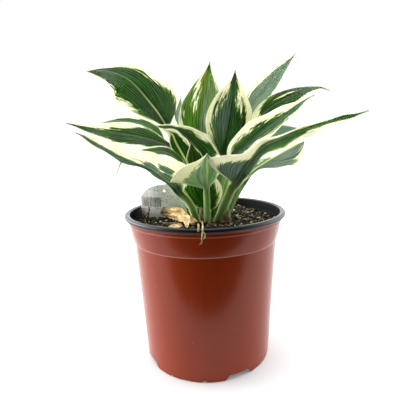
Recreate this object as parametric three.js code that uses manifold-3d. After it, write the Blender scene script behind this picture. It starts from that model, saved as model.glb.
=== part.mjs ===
// A potted hosta plant: a moulded nursery pot, potting soil, the crown of the plant with its papery
// sheaths, nineteen cream-edged leaves, a plant label, a dry dead leaf and two rootlets.
// Millimetres. +Z is up, -Y is the front, and the origin is the middle of the underside of the pot.

import * as THREE from 'three';
import { mergeVertices } from 'three/addons/utils/BufferGeometryUtils.js';
import Module from 'manifold-3d';

const wasm = await Module();
wasm.setup();

// Pot
const POT_HEIGHT = 155.3;
const LIP_RADIUS = 82.5;
const LIP_HEIGHT = 153.2;
const LIP_BOTTOM = 150.8;
const LIP_INNER_RADIUS = 77;
const RIDGE_HEIGHT = 146.5;
const RIDGE_RADIUS = 78.7;
const COLLAR_BOTTOM = 126.3;
const COLLAR_RADIUS = 74;
const WALL_RADIUS_UNDER_COLLAR = 73.3;
const FOOT_RADIUS = 66.1;
const WALL = 1.7;
const LEDGE_HEIGHT = 145.7;
const LEDGE_WIDTH = 1.3;
const FLOOR_UNDERSIDE = 6;
const HUB_RADIUS = 20;
const HUB_SLOPE = 6;
const COLLAR_CHAMFER = 0.6;
const RIDGE_CHAMFER = 0.5;
const RIDGE_STEP = 0.9;
const LIP_SLOPE = 1;
const LIP_ROUND = 2;
const LIP_CHAMFER = 1.2;
const LIP_INNER_ROUND = 1.8;
const POT_SEGMENTS = 48;
const DRAIN_HOLES = 8;
const DRAIN_HOLE_RADIUS = 4;
const DRAIN_CIRCLE = 48;
const FOOT_QUARTERS = 4;
const FIRST_ARCH_ANGLE = -64;
const ARCH = { width: 30, height: 5.2, leftLean: 5, rightLean: 4, rise: 0.4 };
const NOTCH = { turn: 30, width: 3.5, height: 1.8 };
const SHALLOW_NOTCH = { turn: 45, width: 9, height: 0.8 };
const CUT_DEPTH = 12;
const CUT_BELOW = 2;
const DRILL_SIDES = 12;

// Soil and crown
const CLEARANCE = 0.35;
const SOIL_LEVEL = 144.6;
const SOIL_RELIEF = 0.7;
const SOIL_RINGS = 8;
const SOIL_EDGE_DROP = 1.2;
const SOIL_EDGE_WIDTH = 1.5;
const SOIL_SEED = 417;
const CROWN_CENTRE = [3, 1.5];
const CROWN_RADIUS = 31;
const CROWN_BOTTOM = 124;
const CROWN_EDGE_LEVEL = 145.2;
const CROWN_RISE = 2.2;
// The bowl under the crown, as shares of its radius and heights over its bottom
const CROWN_BOWL = [[0.7, 1], [0.93, 7]];
const CROWN_SHOULDER = 3;
const CROWN_CHAMFER = 0.8;
const CROWN_DOME = { radius: 0.6, rise: 0.7 };
const CROWN_SEGMENTS = 28;
const ROOT_LEVEL = 138;
const STALK_HOLE_SIDES = 8;

// Leaves
const BLADE_THICKNESS = 0.8;
const RIB_REACH = 2.4;
const CHANNEL_ANGLE = 42;
const BLADE_START_BEFORE = 14;
const BLADE_START_LENGTH = 32;
const LEAST_HALF_WIDTH = 0.4;
const STALK_DEPTH = 1.15;
const STALK_THINNING = 0.45;
const STALK_BEND = -10;
const RIB_THINNING = 0.55;
const RIB_SINKING = 0.5;
const WAVE_SHIFT = 0.37;
const PATH_STEPS = 24;
const STALK_ROWS = 5;
const BLADE_ROWS = 11;
const WIDE_BLADE_ROWS = 14;

// rib runs from the root through the stalk and the blade to the tip, and base is the point where the
// blade starts. columns is how many faces lie on each side of the midrib. face is the way the upper
// surface looks, from the stalk to the tip.
const LEAVES = [
  {
    name: 'leaf_left_high', columns: 3,
    rib: [[-3, 15], [-9, 25, 181], [-39, 34, 241], [-59, 44, 270], [-80, 48, 293], [-101, 42, 302],
      [-121, 34, 301]],
    width: 66, stalk: 3.8, wave: [1.6, 3, 0],
    face: [[0.1, -0.8, 0.55], [0.05, -0.75, 0.6], [-0.1, -0.5, 0.85]],
    left: side([0, 10, 17, 22, 25, 26.5, 28, 28.5, 24, 15, 0], 0, { fold: [15, 10, 5] }),
    right: side(1, 0.34, { taper: 1.45, fold: [20, 15, 10] }),
  },
  {
    name: 'leaf_back_upright', columns: 3,
    rib: [[3, 22], [0, 31, 177], [-2, 36, 215], [-2, 42, 246], [3, 50, 279], [10, 60, 313]],
    width: 50, stalk: 3.6, wave: [1.2, 2.5, 0.2],
    face: [[-0.05, -1, 0.3], [0, -1, 0.35]],
    left: side(1, 0.32, { fold: [25, 20, 10] }),
    right: side(1, 0.38, { fold: [25, 20, 10] }),
  },
  {
    name: 'leaf_centre_upright', columns: 3,
    rib: [[6, 4], [13, 4, 177], [20, 7, 209], [26, 12, 236], [31, 20, 267], [36, 32, 298]],
    width: 47, stalk: 3.6, wave: [1.2, 2.5, 0.5],
    face: [[0.05, -1, 0.25], [0, -1, 0.35]],
    left: side(1.05, 0.38),
    right: side(1, 0.42),
  },
  {
    name: 'leaf_right_high', columns: 2,
    rib: [[9, 16.5], [19, 25, 183], [39, 38, 231], [59, 50, 266], [84, 60, 293], [108, 68, 321]],
    width: 38, stalk: 3, wave: [0, 0, 0],
    face: [[-0.6, 0.6, 0.45], [-0.6, 0.6, 0.45]],
    left: side(1, 0.42),
    right: side(1.15, 0.42),
  },
  {
    name: 'leaf_right_arched', columns: 2,
    rib: [[14, 9], [26, 17, 183], [55, 34, 239], [75, 40, 259], [102, 36, 273], [124, 30, 278],
      [135, 26, 275]],
    width: 28, stalk: 2.8, wave: [0, 0, 0],
    face: [[-0.2, -0.7, 0.6], [0, -0.6, 0.8]],
    left: side(1, 0.35),
    right: side(1, 0.4),
  },
  {
    name: 'leaf_right_diagonal', columns: 3,
    rib: [[11, -2.5], [15, -4, 176], [26, -10, 206], [48, -12, 226], [70, -10, 243], [96, -4, 260],
      [111, 0, 268]],
    width: 42, stalk: 3, wave: [1, 3, 0.1],
    face: [[-0.35, -0.65, 0.65], [-0.3, -0.55, 0.75]],
    left: side(0.95, 0.3, { swell: 0.6 }),
    right: side(0.8, 0.5),
  },
  {
    name: 'leaf_front_right_long', columns: 3,
    rib: [[9.5, -16], [24, -32, 177], [29, -38, 186], [48, -50, 216], [70, -56, 228], [105, -52, 238],
      [146, -44, 249]],
    width: 54, stalk: 3.8, wave: [1.6, 3.5, 0.3],
    face: [[0.6, -0.8, -0.2], [0.5, -0.85, 0], [0.1, -0.85, 0.4], [0, -0.7, 0.7], [0, -0.6, 0.8],
      [0, -0.6, 0.8]],
    left: side([0, 30, 23, 5, 3, 2.5, 4, 5.5, 3.5, 1.5, 0], 0, { fold: [10, 10, 10] }),
    right: side([0, 5, 5, 6, 9, 7.5, 6.5, 5.5, 4, 2, 0], 0, { fold: [10, 10, 10] }),
  },
  {
    name: 'leaf_front_small', columns: 3,
    rib: [[1.5, -15.5], [2, -21, 166], [2, -28, 181], [3, -43, 199], [3, -60, 216]],
    width: 46, stalk: 3, wave: [1.5, 2, 0.6],
    face: [[-0.3, 0.8, 0.6], [-0.1, 0.6, 0.8]],
    left: side(0.55, 0.4),
    right: side(1.5, 0.3),
  },
  {
    name: 'leaf_right_low', columns: 3,
    rib: [[16, -9], [33, -20, 178], [43, -32, 195], [56, -42, 206], [72, -50, 216], [87, -54, 224]],
    width: 40, stalk: 3.4, wave: [1, 2.5, 0.4],
    face: [[0.1, -0.6, 0.7], [0.1, -0.6, 0.7]],
    left: side(0.7, 0.25, { taper: 1.3, fold: [5, 5, 5] }),
    right: side(0.8, 0.75, { swell: 2, taper: 0.7, fold: [-50, -50, -40] }),
  },
  {
    name: 'leaf_front_inner', columns: 2,
    rib: [[4, -9.5], [4, -10, 157], [4, -12, 164], [2, -15, 180], [-1, -14, 202]],
    width: 36, stalk: 2.2, wave: [0, 0, 0],
    face: [[0, -1, 0.3], [0, -1, 0.3]],
    left: side(1, 0.4),
    right: side(1, 0.4),
  },
  {
    name: 'leaf_front_left_long', columns: 3,
    rib: [[-6, -15], [-14, -20, 163], [-23, -26, 176], [-34, -37, 190], [-49, -49, 204], [-68, -54, 213],
      [-88, -56, 225], [-109, -52, 236]],
    width: 42, stalk: 3.8, wave: [1.4, 3.5, 0.7],
    face: [[0, -0.85, 0.5], [0, -0.6, 0.8], [0, -0.5, 0.85], [0, -0.4, 0.9]],
    left: side(0.2, 0.7, { swell: 1.6, fold: [-40, -40, -20] }),
    right: side([0, 24, 24, 20, 18, 16, 13.5, 10.5, 7, 4, 0], 0, { fold: [20, 30, 20] }),
  },
  {
    name: 'leaf_left_level', base: 3, columns: 2,
    rib: [[-4.5, 4.5], [-6, 6, 179], [-16, 10, 206], [-31, 5, 219], [-58, -7, 230], [-88, -12, 236],
      [-132, -10, 246]],
    width: 28, stalk: 2.4, wave: [1, 3, 0.2],
    face: [[0, -0.7, 0.65], [0, -0.7, 0.65]],
    left: side(0.85, 0.4),
    right: side(1, 0.4),
  },
  {
    name: 'leaf_left_drooping', columns: 2,
    rib: [[-7, -7], [-7, -6, 173], [-19, -9, 200], [-34, -18, 215], [-55, -23, 216], [-75, -25, 211],
      [-84, -28, 196]],
    width: 20, stalk: 2, wave: [0, 0, 0],
    face: [[0, -0.5, 0.85], [0, -0.5, 0.85], [-0.6, -0.5, 0.6]],
    left: side(0.85, 0.4),
    right: side(1, 0.3, { swell: 0.7 }),
  },
  {
    name: 'leaf_back_left_slim', columns: 2,
    rib: [[-8, 21.5], [-13, 33, 182], [-22, 48, 229], [-27, 54, 251], [-24, 60, 276]],
    width: 22, stalk: 2, wave: [0, 0, 0],
    face: [[0.8, -0.3, 0.3], [0.8, -0.3, 0.3]],
    left: side(1, 0.4),
    right: side(1, 0.4),
  },
  {
    name: 'leaf_right_under', columns: 2,
    rib: [[16.5, 3], [23, 3, 180], [40, 8, 215], [61, 12, 227], [82, 14, 232], [103, 14, 235]],
    width: 26, stalk: 2.4, wave: [0, 0, 0],
    face: [[0, -0.6, 0.8], [0, -0.6, 0.8]],
    left: side(1, 0.4),
    right: side(1, 0.4),
  },
  {
    name: 'leaf_left_arched', columns: 2,
    rib: [[-11, 8.5], [-11, 14, 182], [-42, 15, 227], [-59, 15, 242], [-82, 12, 248], [-109, 8, 245]],
    width: 26, stalk: 2.3, wave: [0, 0, 0],
    face: [[0, -0.4, 0.9], [0, -0.4, 0.9]],
    left: side(1, 0.4),
    right: side(1, 0.4),
  },
  {
    name: 'leaf_centre_left', columns: 3,
    rib: [[3.5, 11.5], [7, 15, 173], [3, 16, 201], [-12, 19, 224], [-30, 23, 238], [-57, 28, 243]],
    width: 44, stalk: 3, wave: [1, 3, 0.5],
    face: [[-0.2, -0.8, 0.6], [-0.1, -0.8, 0.6]],
    left: side(0.25, 0.4),
    right: side([0, 15, 19, 17.5, 14.5, 11.5, 8.5, 5.5, 3, 1.5, 0], 0),
  },
  {
    name: 'leaf_inner_left', columns: 2,
    rib: [[-7.5, -1], [-7, -1, 176], [-16, -2, 202], [-27, -3, 224], [-31, -2, 233], [-41, 0, 239]],
    width: 24, stalk: 1.9, wave: [0, 0, 0],
    face: [[0.1, -0.95, 0.3], [0.1, -0.95, 0.3]],
    left: side(0.6, 0.4),
    right: side(1, 0.4),
  },
  {
    name: 'leaf_inner_folded', columns: 2,
    rib: [[-0.5, -5], [-1, -8, 175], [-9, -12, 195], [-11, -13, 211], [-12, -12, 225]],
    width: 22, stalk: 1.8, wave: [0, 0, 0],
    face: [[0.3, -0.95, 0.1], [0.3, -0.95, 0.1]],
    left: side(0.6, 0.4),
    right: side(1, 0.4),
  },
];

// Plant label, seen from above an arc round a centre; distances across it run along the arc
const LABEL_ARC_CENTRE = [-47, 45];
const LABEL_ARC_RADIUS = 33;
const LABEL_LEFT = -25;
const LABEL_RIGHT = 30;
const LABEL_FOOT = 138;
const LABEL_TOP_LEVELS = [167, 174, 178, 180.2, 181, 181, 178.5, 172, 160];
const LABEL_THICKNESS = 0.8;
const LABEL_COLUMNS = 16;
const LABEL_ROWS = 5;
const LABEL_HOLE = { across: 3.8, level: 174, radius: 1.4, sides: 8 };

// Sheaths of the crown
const SHEATH_THICKNESS = 0.9;
const SHEATH_BOW_ANGLE = 34;
const SHEATH_ROOT_DEPTH = 4;
const SHEATH_BOW = 1.2;
const SHEATH_NARROWING = 0.75;
const SHEATH_ROUNDNESS = 1.8;
const SHEATHS = [
  { place: [20.5, -18], facing: -75, width: 7.5, height: 11, lean: [2.5, -4] },
  { place: [-2.5, -10.8], facing: -90, width: 6, height: 19, lean: [-1.5, -0.5] },
  { place: [2, -24], facing: -90, width: 9, height: 4, lean: [0, -1] },
];

// Dry leaf, its scrap and the rootlets
const DRY_COLUMNS = 4;
const DRY_CRUMPLE = 0.9;
const DRY_THICKNESS = 0.8;
const DRY_BELLY = 1.5;
const DRY_SEED = 29;
// Points on the lower and the upper edge of the dry leaf, from its left end to its right end.
const DRY_LEAF_EDGES = [
  [[-46, 7, 151], [-46.5, 6, 153.5]],
  [[-43, 4, 149], [-43, 5, 158]],
  [[-38, -1, 147.4], [-37, 1, 158]],
  [[-33, -8, 147.2], [-30, -3, 158.5]],
  [[-28, -15, 147.2], [-23, -6, 157.4]],
  [[-24, -24, 147.4], [-19, -13, 154.5]],
  [[-19, -31, 147.6], [-14, -21, 151.5]],
  [[-14, -34, 147.6], [-8.5, -27, 149.8]],
  [[-10.5, -34, 147.8], [-8, -31, 148.8]],
];
const ROOTLET_RADIUS = 0.6;
const ROOTLET_SIDES = 6;
const HANGING_ROOTLET = [[-3, -28, 149], [-2.8, -44, 151.6], [-2.6, -62, 154.6], [-2.3, -74, 157],
  [-2.2, -80, 157], [-2.3, -83.9, 154.6], [-2.8, -84.3, 151.5], [-3.1, -84.3, 148], [-3, -84, 145],
  [-3.6, -83.8, 143], [-5.4, -83.4, 142.4]];
const ROOTLET_LOOP = [[-2.6, -84.2, 152.9], [-0.9, -84.3, 152.6], [-0.2, -84.3, 149.9], [-1, -84.3, 147.6],
  [-3, -84.2, 146.6]];
const STRAP_ROOTLET = [[-7, -38, 149], [-6, -60, 153.6], [-5.8, -74, 157], [-5.7, -80.4, 157],
  [-5.8, -84, 153.6]];

// The dry leaf's flap over the edge of the pot, and its scrap, made as small leaves
const DRY_LEAF_LOBE = {
  rib: [[-22, -15, 151.5], [-19, -27, 153.4], [-17, -42, 155.4], [-16, -60, 156.2], [-15.6, -73, 157.8],
    [-15.2, -80.5, 156.8]],
  base: 1, width: 6, stalk: 2, wave: [0, 2, 0],
  face: [[0, -0.2, 1], [0, -0.4, 1]],
  left: side(1, 0.8, { taper: 0.5, fold: [10, 5, 5] }),
  right: side(1, 0.8, { taper: 0.5, fold: [10, 5, 5] }),
};
const DRY_SCRAP = {
  rib: [[-35, -39, 147.2], [-32, -39.5, 147.4], [-27, -40, 147.6], [-22, -40, 148.2]],
  base: 1, width: 9, stalk: 1, wave: [0, 2, 0],
  face: [[0, -0.1, 1], [0, -0.3, 1]],
  left: side(1, 0.6, { taper: 0.6, fold: [0, 0, 0] }),
  right: side(1, 0.6, { taper: 0.6, fold: [0, 0, 0] }),
};

const COLOURS = {
  terracotta: 0x9a4632,
  soil: 0x2b2018,
  crown: 0x5a3f30,
  leaf: 0x2f5a2b,
  label: 0xc9cfcb,
  dry: 0xb08a52,
  root: 0xa98f66,
};

const radians = THREE.MathUtils.degToRad;
const group = new THREE.Group();

function addPiece(name, geometry, colour, roughness) {
  const material = new THREE.MeshStandardMaterial({ color: colour, roughness, metalness: 0 });
  const mesh = new THREE.Mesh(geometry, material);
  mesh.name = name;
  group.add(mesh);
}

// A steady sequence of numbers from 0 to 1, the same each time for the same seed.
function seededNumbers(seed) {
  let state = seed;
  return () => {
    state = (state * 16807) % 2147483647;
    return state / 2147483647;
  };
}

// Keeps positions only, joins equal corners, drops collapsed triangles and turns the faces outward.
function tidyGeometry(source) {
  const geometry = source.clone();
  geometry.deleteAttribute('normal');
  geometry.deleteAttribute('uv');
  const merged = mergeVertices(geometry, 1e-4);
  const place = merged.getAttribute('position');
  const index = merged.getIndex().array;
  const kept = [];
  let volume = 0;
  const a = new THREE.Vector3();
  const b = new THREE.Vector3();
  const c = new THREE.Vector3();
  for (let i = 0; i < index.length; i += 3) {
    const [p, q, r] = [index[i], index[i + 1], index[i + 2]];
    if (p === q || q === r || r === p) continue;
    kept.push(p, q, r);
    a.fromBufferAttribute(place, p);
    b.fromBufferAttribute(place, q);
    c.fromBufferAttribute(place, r);
    volume += a.dot(b.cross(c));
  }
  if (volume < 0) kept.reverse();
  merged.setIndex(kept);
  return merged;
}

function solidOf(geometry) {
  const tidy = tidyGeometry(geometry);
  return new wasm.Manifold(new wasm.Mesh({
    numProp: 3,
    vertProperties: new Float32Array(tidy.getAttribute('position').array),
    triVerts: new Uint32Array(tidy.getIndex().array),
  }));
}

function geometryOf(solid) {
  const mesh = solid.getMesh();
  const geometry = new THREE.BufferGeometry();
  geometry.setAttribute('position', new THREE.BufferAttribute(new Float32Array(mesh.vertProperties), 3));
  geometry.setIndex(Array.from(mesh.triVerts));
  return geometry;
}

// A closed thin body between two grids of points, rows along it and columns across it. Both faces are
// split into triangles the same way.
function sheetGeometry(top, bottom) {
  const rows = top.length;
  const columns = top[0].length;
  const positions = [];
  for (const grid of [top, bottom]) {
    for (const row of grid) {
      for (const point of row) positions.push(point.x, point.y, point.z);
    }
  }
  const at = (side, row, column) => (side * rows + row) * columns + column;
  const triangles = [];
  for (let row = 0; row < rows - 1; row += 1) {
    for (let column = 0; column < columns - 1; column += 1) {
      const corners = (side) => [
        at(side, row, column), at(side, row, column + 1),
        at(side, row + 1, column + 1), at(side, row + 1, column),
      ];
      const [p, q, r, s] = corners(0);
      triangles.push(p, q, r, p, r, s);
      const [t, u, v, w] = corners(1);
      triangles.push(t, v, u, t, w, v);
    }
  }
  const wall = (a, b) => {
    const [p, q] = [at(0, ...a), at(0, ...b)];
    const [r, s] = [at(1, ...a), at(1, ...b)];
    triangles.push(p, r, s, p, s, q);
  };
  for (let column = 0; column < columns - 1; column += 1) {
    wall([0, column], [0, column + 1]);
    wall([rows - 1, column + 1], [rows - 1, column]);
  }
  for (let row = 0; row < rows - 1; row += 1) {
    wall([row + 1, 0], [row, 0]);
    wall([row, columns - 1], [row + 1, columns - 1]);
  }
  const geometry = new THREE.BufferGeometry();
  geometry.setAttribute('position', new THREE.Float32BufferAttribute(positions, 3));
  geometry.setIndex(triangles);
  return tidyGeometry(geometry);
}

const smoothStep = (value) => value * value * (3 - 2 * value);

// The value a share of the way along a short list, eased from each entry to the next.
function along(list, share) {
  const x = THREE.MathUtils.clamp(share, 0, 1) * (list.length - 1);
  const i = Math.min(Math.floor(x), list.length - 2);
  const f = smoothStep(x - i);
  if (Array.isArray(list[i])) return list[i].map((value, k) => value * (1 - f) + list[i + 1][k] * f);
  return list[i] * (1 - f) + list[i + 1] * f;
}

// One side of a blade. reach is its share of the half width, widest where along the blade it is widest,
// swell and taper how it fills out and thins, fold its angle up from the midrib and bend how far it
// curls on towards its edge, each from the stalk to the tip.
function side(reach, widest, more = {}) {
  const plain = { swell: 0.8, taper: 1.35, fold: [25, 20, 15], bend: [-30, -30, -20] };
  return { ...plain, reach, widest, ...more };
}

// A smooth curve through the entries of a list, read a share of the way along.
function curveAlong(list, share) {
  const values = [2 * list[0] - list[1], ...list, 2 * list[list.length - 1] - list[list.length - 2]];
  const place = share * (list.length - 1);
  const low = Math.min(Math.floor(place), list.length - 2);
  const t = place - low;
  const [a, b, c, d] = values.slice(low, low + 4);
  const square = 2 * a - 5 * b + 4 * c - d;
  const cube = 3 * b - a - 3 * c + d;
  return 0.5 * (2 * b + (c - a) * t + square * t ** 2 + cube * t ** 3);
}

// The width of one side of the blade, a share of the way from its start to the tip. A list as reach
// gives it in millimetres.
function bladeReach(leaf, half, share) {
  if (Array.isArray(half.reach)) return Math.max(curveAlong(half.reach, share), 0);
  const before = THREE.MathUtils.clamp(share / half.widest, 0, 1);
  const after = THREE.MathUtils.clamp((share - half.widest) / (1 - half.widest), 0, 1);
  const outline = share < half.widest
    ? Math.sin((Math.PI / 2) * before) ** half.swell
    : Math.abs(Math.cos((Math.PI / 2) * after)) ** half.taper;
  return 0.5 * leaf.width * half.reach * outline;
}

// The upper and lower points of a leaf, row by row from the root to the tip.
function leafGrids(leaf, stalkRows, bladeRows, halfColumns) {
  const points = leaf.rib.map(([x, y, z = ROOT_LEVEL]) => new THREE.Vector3(x, y, z));
  const curve = new THREE.CatmullRomCurve3(points, false, 'catmullrom', 0.5);
  curve.arcLengthDivisions = PATH_STEPS * (points.length - 1);
  const lengths = curve.getLengths();
  const total = lengths[lengths.length - 1];
  const bladeStart = lengths[PATH_STEPS * (leaf.base ?? 2)];
  const distances = [];
  for (let i = 0; i < stalkRows; i += 1) distances.push((bladeStart * i) / stalkRows);
  for (let i = 0; i <= bladeRows; i += 1) {
    distances.push(bladeStart + ((total - bladeStart) * i) / bladeRows);
  }
  const [waveHeight, waveCount, wavePhase] = leaf.wave;
  const top = [];
  const bottom = [];
  for (const distance of distances) {
    const u = Math.min(distance / total, 1);
    const rib = curve.getPointAt(u);
    const tangent = curve.getTangentAt(u);
    const share = THREE.MathUtils.clamp((distance - bladeStart) / (total - bladeStart), 0, 1);
    const face = new THREE.Vector3(...along(leaf.face, share)).normalize();
    const normal = face.addScaledVector(tangent, -face.dot(tangent)).normalize();
    const across = new THREE.Vector3().crossVectors(tangent, normal);
    const open = THREE.MathUtils.clamp(
      (distance - bladeStart + BLADE_START_BEFORE) / BLADE_START_LENGTH, 0, 1);
    const blend = smoothStep(open);
    const upper = [];
    const lower = [];
    for (let column = -halfColumns; column <= halfColumns; column += 1) {
      const sign = column < 0 ? -1 : 1;
      const q = Math.abs(column) / halfColumns;
      const half = sign < 0 ? leaf.left : leaf.right;
      const blade = bladeReach(leaf, half, share);
      const reach = Math.max(Math.hypot(leaf.stalk * (1 - share), blade), LEAST_HALF_WIDTH);
      const fold = radians(CHANNEL_ANGLE * (1 - blend) + along(half.fold, share) * blend);
      const bend = radians(STALK_BEND * (1 - blend) + along(half.bend, share) * blend);
      const out = (reach * (Math.sin(fold + bend * q) - Math.sin(fold))) / bend;
      const turns = waveCount * share + wavePhase + (sign > 0 ? WAVE_SHIFT : 0);
      const ripple = Math.sin(2 * Math.PI * turns);
      const up = (reach * (Math.cos(fold) - Math.cos(fold + bend * q))) / bend
        + waveHeight * q * q * ripple * Math.max(Math.sin(Math.PI * share), 0) ** 0.7;
      const tilt = q === 0 ? 0 : fold + bend * q;
      const ribWidth = RIB_REACH * (1 - 0.5 * share);
      const stalkRise = leaf.stalk * STALK_DEPTH * (1 - STALK_THINNING * share) - 0.2;
      const rise = stalkRise * (1 - RIB_THINNING * share) * (1 - RIB_SINKING * blend);
      const thickness = BLADE_THICKNESS + rise * Math.exp(-(((reach * q) / ribWidth) ** 2));
      const point = rib.clone().addScaledVector(across, sign * out).addScaledVector(normal, up);
      const outward = normal.clone().multiplyScalar(Math.cos(tilt))
        .addScaledVector(across, -sign * Math.sin(tilt));
      upper.push(point);
      lower.push(point.clone().addScaledVector(outward, -thickness));
    }
    top.push(upper);
    bottom.push(lower);
  }
  return [top, bottom];
}

// The straight plain hole in which a stalk stands, clear of every point of the stalk inside it.
function stalkHole(leaf) {
  const [top, bottom] = leafGrids(leaf, 16, 2, leaf.columns);
  const exit = CROWN_EDGE_LEVEL + CROWN_RISE + 2;
  const middle = (points) => points.reduce((sum, point) => sum.add(point), new THREE.Vector3())
    .divideScalar(points.length);
  const rings = top.map((row, i) => [...row, ...bottom[i]]);
  const last = rings.findIndex((ring) => middle(ring).z > exit);
  const low = middle(rings[0]);
  const axis = middle(rings[last]).sub(low).normalize();
  let reach = 0;
  let start = 0;
  let end = 0;
  for (const point of rings.slice(0, last + 1).flat()) {
    const offset = point.clone().sub(low);
    const ahead = offset.dot(axis);
    reach = Math.max(reach, offset.addScaledVector(axis, -ahead).length());
    start = Math.min(start, ahead);
    end = Math.max(end, ahead);
  }
  const radius = (reach + CLEARANCE) / Math.cos(Math.PI / STALK_HOLE_SIDES);
  const length = end - start + CLEARANCE;
  const hole = new THREE.CylinderGeometry(radius, radius, length, STALK_HOLE_SIDES);
  hole.applyQuaternion(new THREE.Quaternion().setFromUnitVectors(new THREE.Vector3(0, 1, 0), axis));
  const centre = low.addScaledVector(axis, start - CLEARANCE + length / 2);
  hole.translate(centre.x, centre.y, centre.z);
  return solidOf(hole);
}

// Pot

// A straight wall between the foot and the collar.
function wallRadius(height) {
  return FOOT_RADIUS + ((WALL_RADIUS_UNDER_COLLAR - FOOT_RADIUS) * height) / COLLAR_BOTTOM;
}

function potProfile() {
  const floorTop = FLOOR_UNDERSIDE + WALL;
  const slopeFoot = HUB_RADIUS + HUB_SLOPE;
  const outline = [
    [0, 0],
    [HUB_RADIUS, 0],
    [slopeFoot, FLOOR_UNDERSIDE],
    [wallRadius(FLOOR_UNDERSIDE) - WALL, FLOOR_UNDERSIDE],
    [FOOT_RADIUS - WALL, 0],
    [FOOT_RADIUS, 0],
    [WALL_RADIUS_UNDER_COLLAR, COLLAR_BOTTOM],
    [COLLAR_RADIUS, COLLAR_BOTTOM + COLLAR_CHAMFER],
    [RIDGE_RADIUS - RIDGE_STEP, RIDGE_HEIGHT - RIDGE_CHAMFER],
    [RIDGE_RADIUS, RIDGE_HEIGHT],
    [RIDGE_RADIUS + RIDGE_STEP, LIP_BOTTOM],
    [LIP_RADIUS - LIP_SLOPE, LIP_BOTTOM],
    [LIP_RADIUS, LIP_HEIGHT],
    [LIP_RADIUS - LIP_CHAMFER / 2, LIP_HEIGHT + LIP_CHAMFER],
    [LIP_RADIUS - LIP_ROUND, POT_HEIGHT],
    [LIP_INNER_RADIUS + LIP_INNER_ROUND / 2, POT_HEIGHT - LIP_INNER_ROUND / 4],
    [LIP_INNER_RADIUS, POT_HEIGHT - LIP_INNER_ROUND],
    [LIP_INNER_RADIUS, LEDGE_HEIGHT],
    [LIP_INNER_RADIUS - LEDGE_WIDTH, LEDGE_HEIGHT],
    [WALL_RADIUS_UNDER_COLLAR - WALL, COLLAR_BOTTOM - 1],
    [wallRadius(floorTop) - WALL, floorTop],
    [slopeFoot, floorTop],
    [HUB_RADIUS, WALL],
    [0, WALL],
  ];
  return outline.map(([r, z]) => new THREE.Vector2(r, z));
}

// A lathe form with its axis along Z.
function turned(profile, segments) {
  const geometry = new THREE.LatheGeometry(profile, segments);
  geometry.rotateX(Math.PI / 2);
  return geometry;
}

// A box through the foot wall, its middle at the given angle.
function footCut(angle, { width, height }) {
  const box = new THREE.BoxGeometry(CUT_DEPTH, width, height * 2);
  box.translate(FOOT_RADIUS, 0, 0);
  box.rotateZ(radians(angle));
  return solidOf(box);
}

// A drain arch in the foot wall with leaning sides.
function footArch(angle) {
  const half = ARCH.width / 2;
  const shape = new THREE.Shape();
  shape.moveTo(-half, -CUT_BELOW);
  shape.lineTo(-half, 0);
  shape.lineTo(-half + ARCH.leftLean, ARCH.height);
  shape.lineTo(half - ARCH.rightLean, ARCH.height + ARCH.rise);
  shape.lineTo(half, 0);
  shape.lineTo(half, -CUT_BELOW);
  const geometry = new THREE.ExtrudeGeometry(shape, { depth: CUT_DEPTH, bevelEnabled: false });
  geometry.rotateX(Math.PI / 2);
  geometry.rotateZ(Math.PI / 2);
  geometry.translate(FOOT_RADIUS - CUT_DEPTH / 2, 0, 0);
  geometry.rotateZ(radians(angle));
  return solidOf(geometry);
}

function buildPot() {
  let pot = solidOf(turned(potProfile(), POT_SEGMENTS));
  for (let quarter = 0; quarter < FOOT_QUARTERS; quarter += 1) {
    const angle = FIRST_ARCH_ANGLE + (360 / FOOT_QUARTERS) * quarter;
    pot = pot.subtract(footArch(angle));
    pot = pot.subtract(footCut(angle - NOTCH.turn, NOTCH));
    pot = pot.subtract(footCut(angle + NOTCH.turn, NOTCH));
    pot = pot.subtract(footCut(angle - SHALLOW_NOTCH.turn, SHALLOW_NOTCH));
  }
  for (let hole = 0; hole < DRAIN_HOLES; hole += 1) {
    const drill = new THREE.CylinderGeometry(DRAIN_HOLE_RADIUS, DRAIN_HOLE_RADIUS, CUT_DEPTH, DRILL_SIDES);
    drill.rotateX(Math.PI / 2);
    drill.translate(DRAIN_CIRCLE, 0, FLOOR_UNDERSIDE + WALL / 2);
    drill.rotateZ(radians((360 / DRAIN_HOLES) * (hole + 0.5)));
    pot = pot.subtract(solidOf(drill));
  }
  addPiece('pot', geometryOf(pot), COLOURS.terracotta, 0.35);
}

// Soil

// The inner face of the pot at a height, less the clearance.
function soilRadius(height) {
  const knee = COLLAR_BOTTOM - 1;
  if (height <= knee) return wallRadius(height) - WALL - CLEARANCE;
  const under = WALL_RADIUS_UNDER_COLLAR - WALL;
  const share = (height - knee) / (LEDGE_HEIGHT - knee);
  return under + (LIP_INNER_RADIUS - LEDGE_WIDTH - under) * share - CLEARANCE;
}

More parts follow.
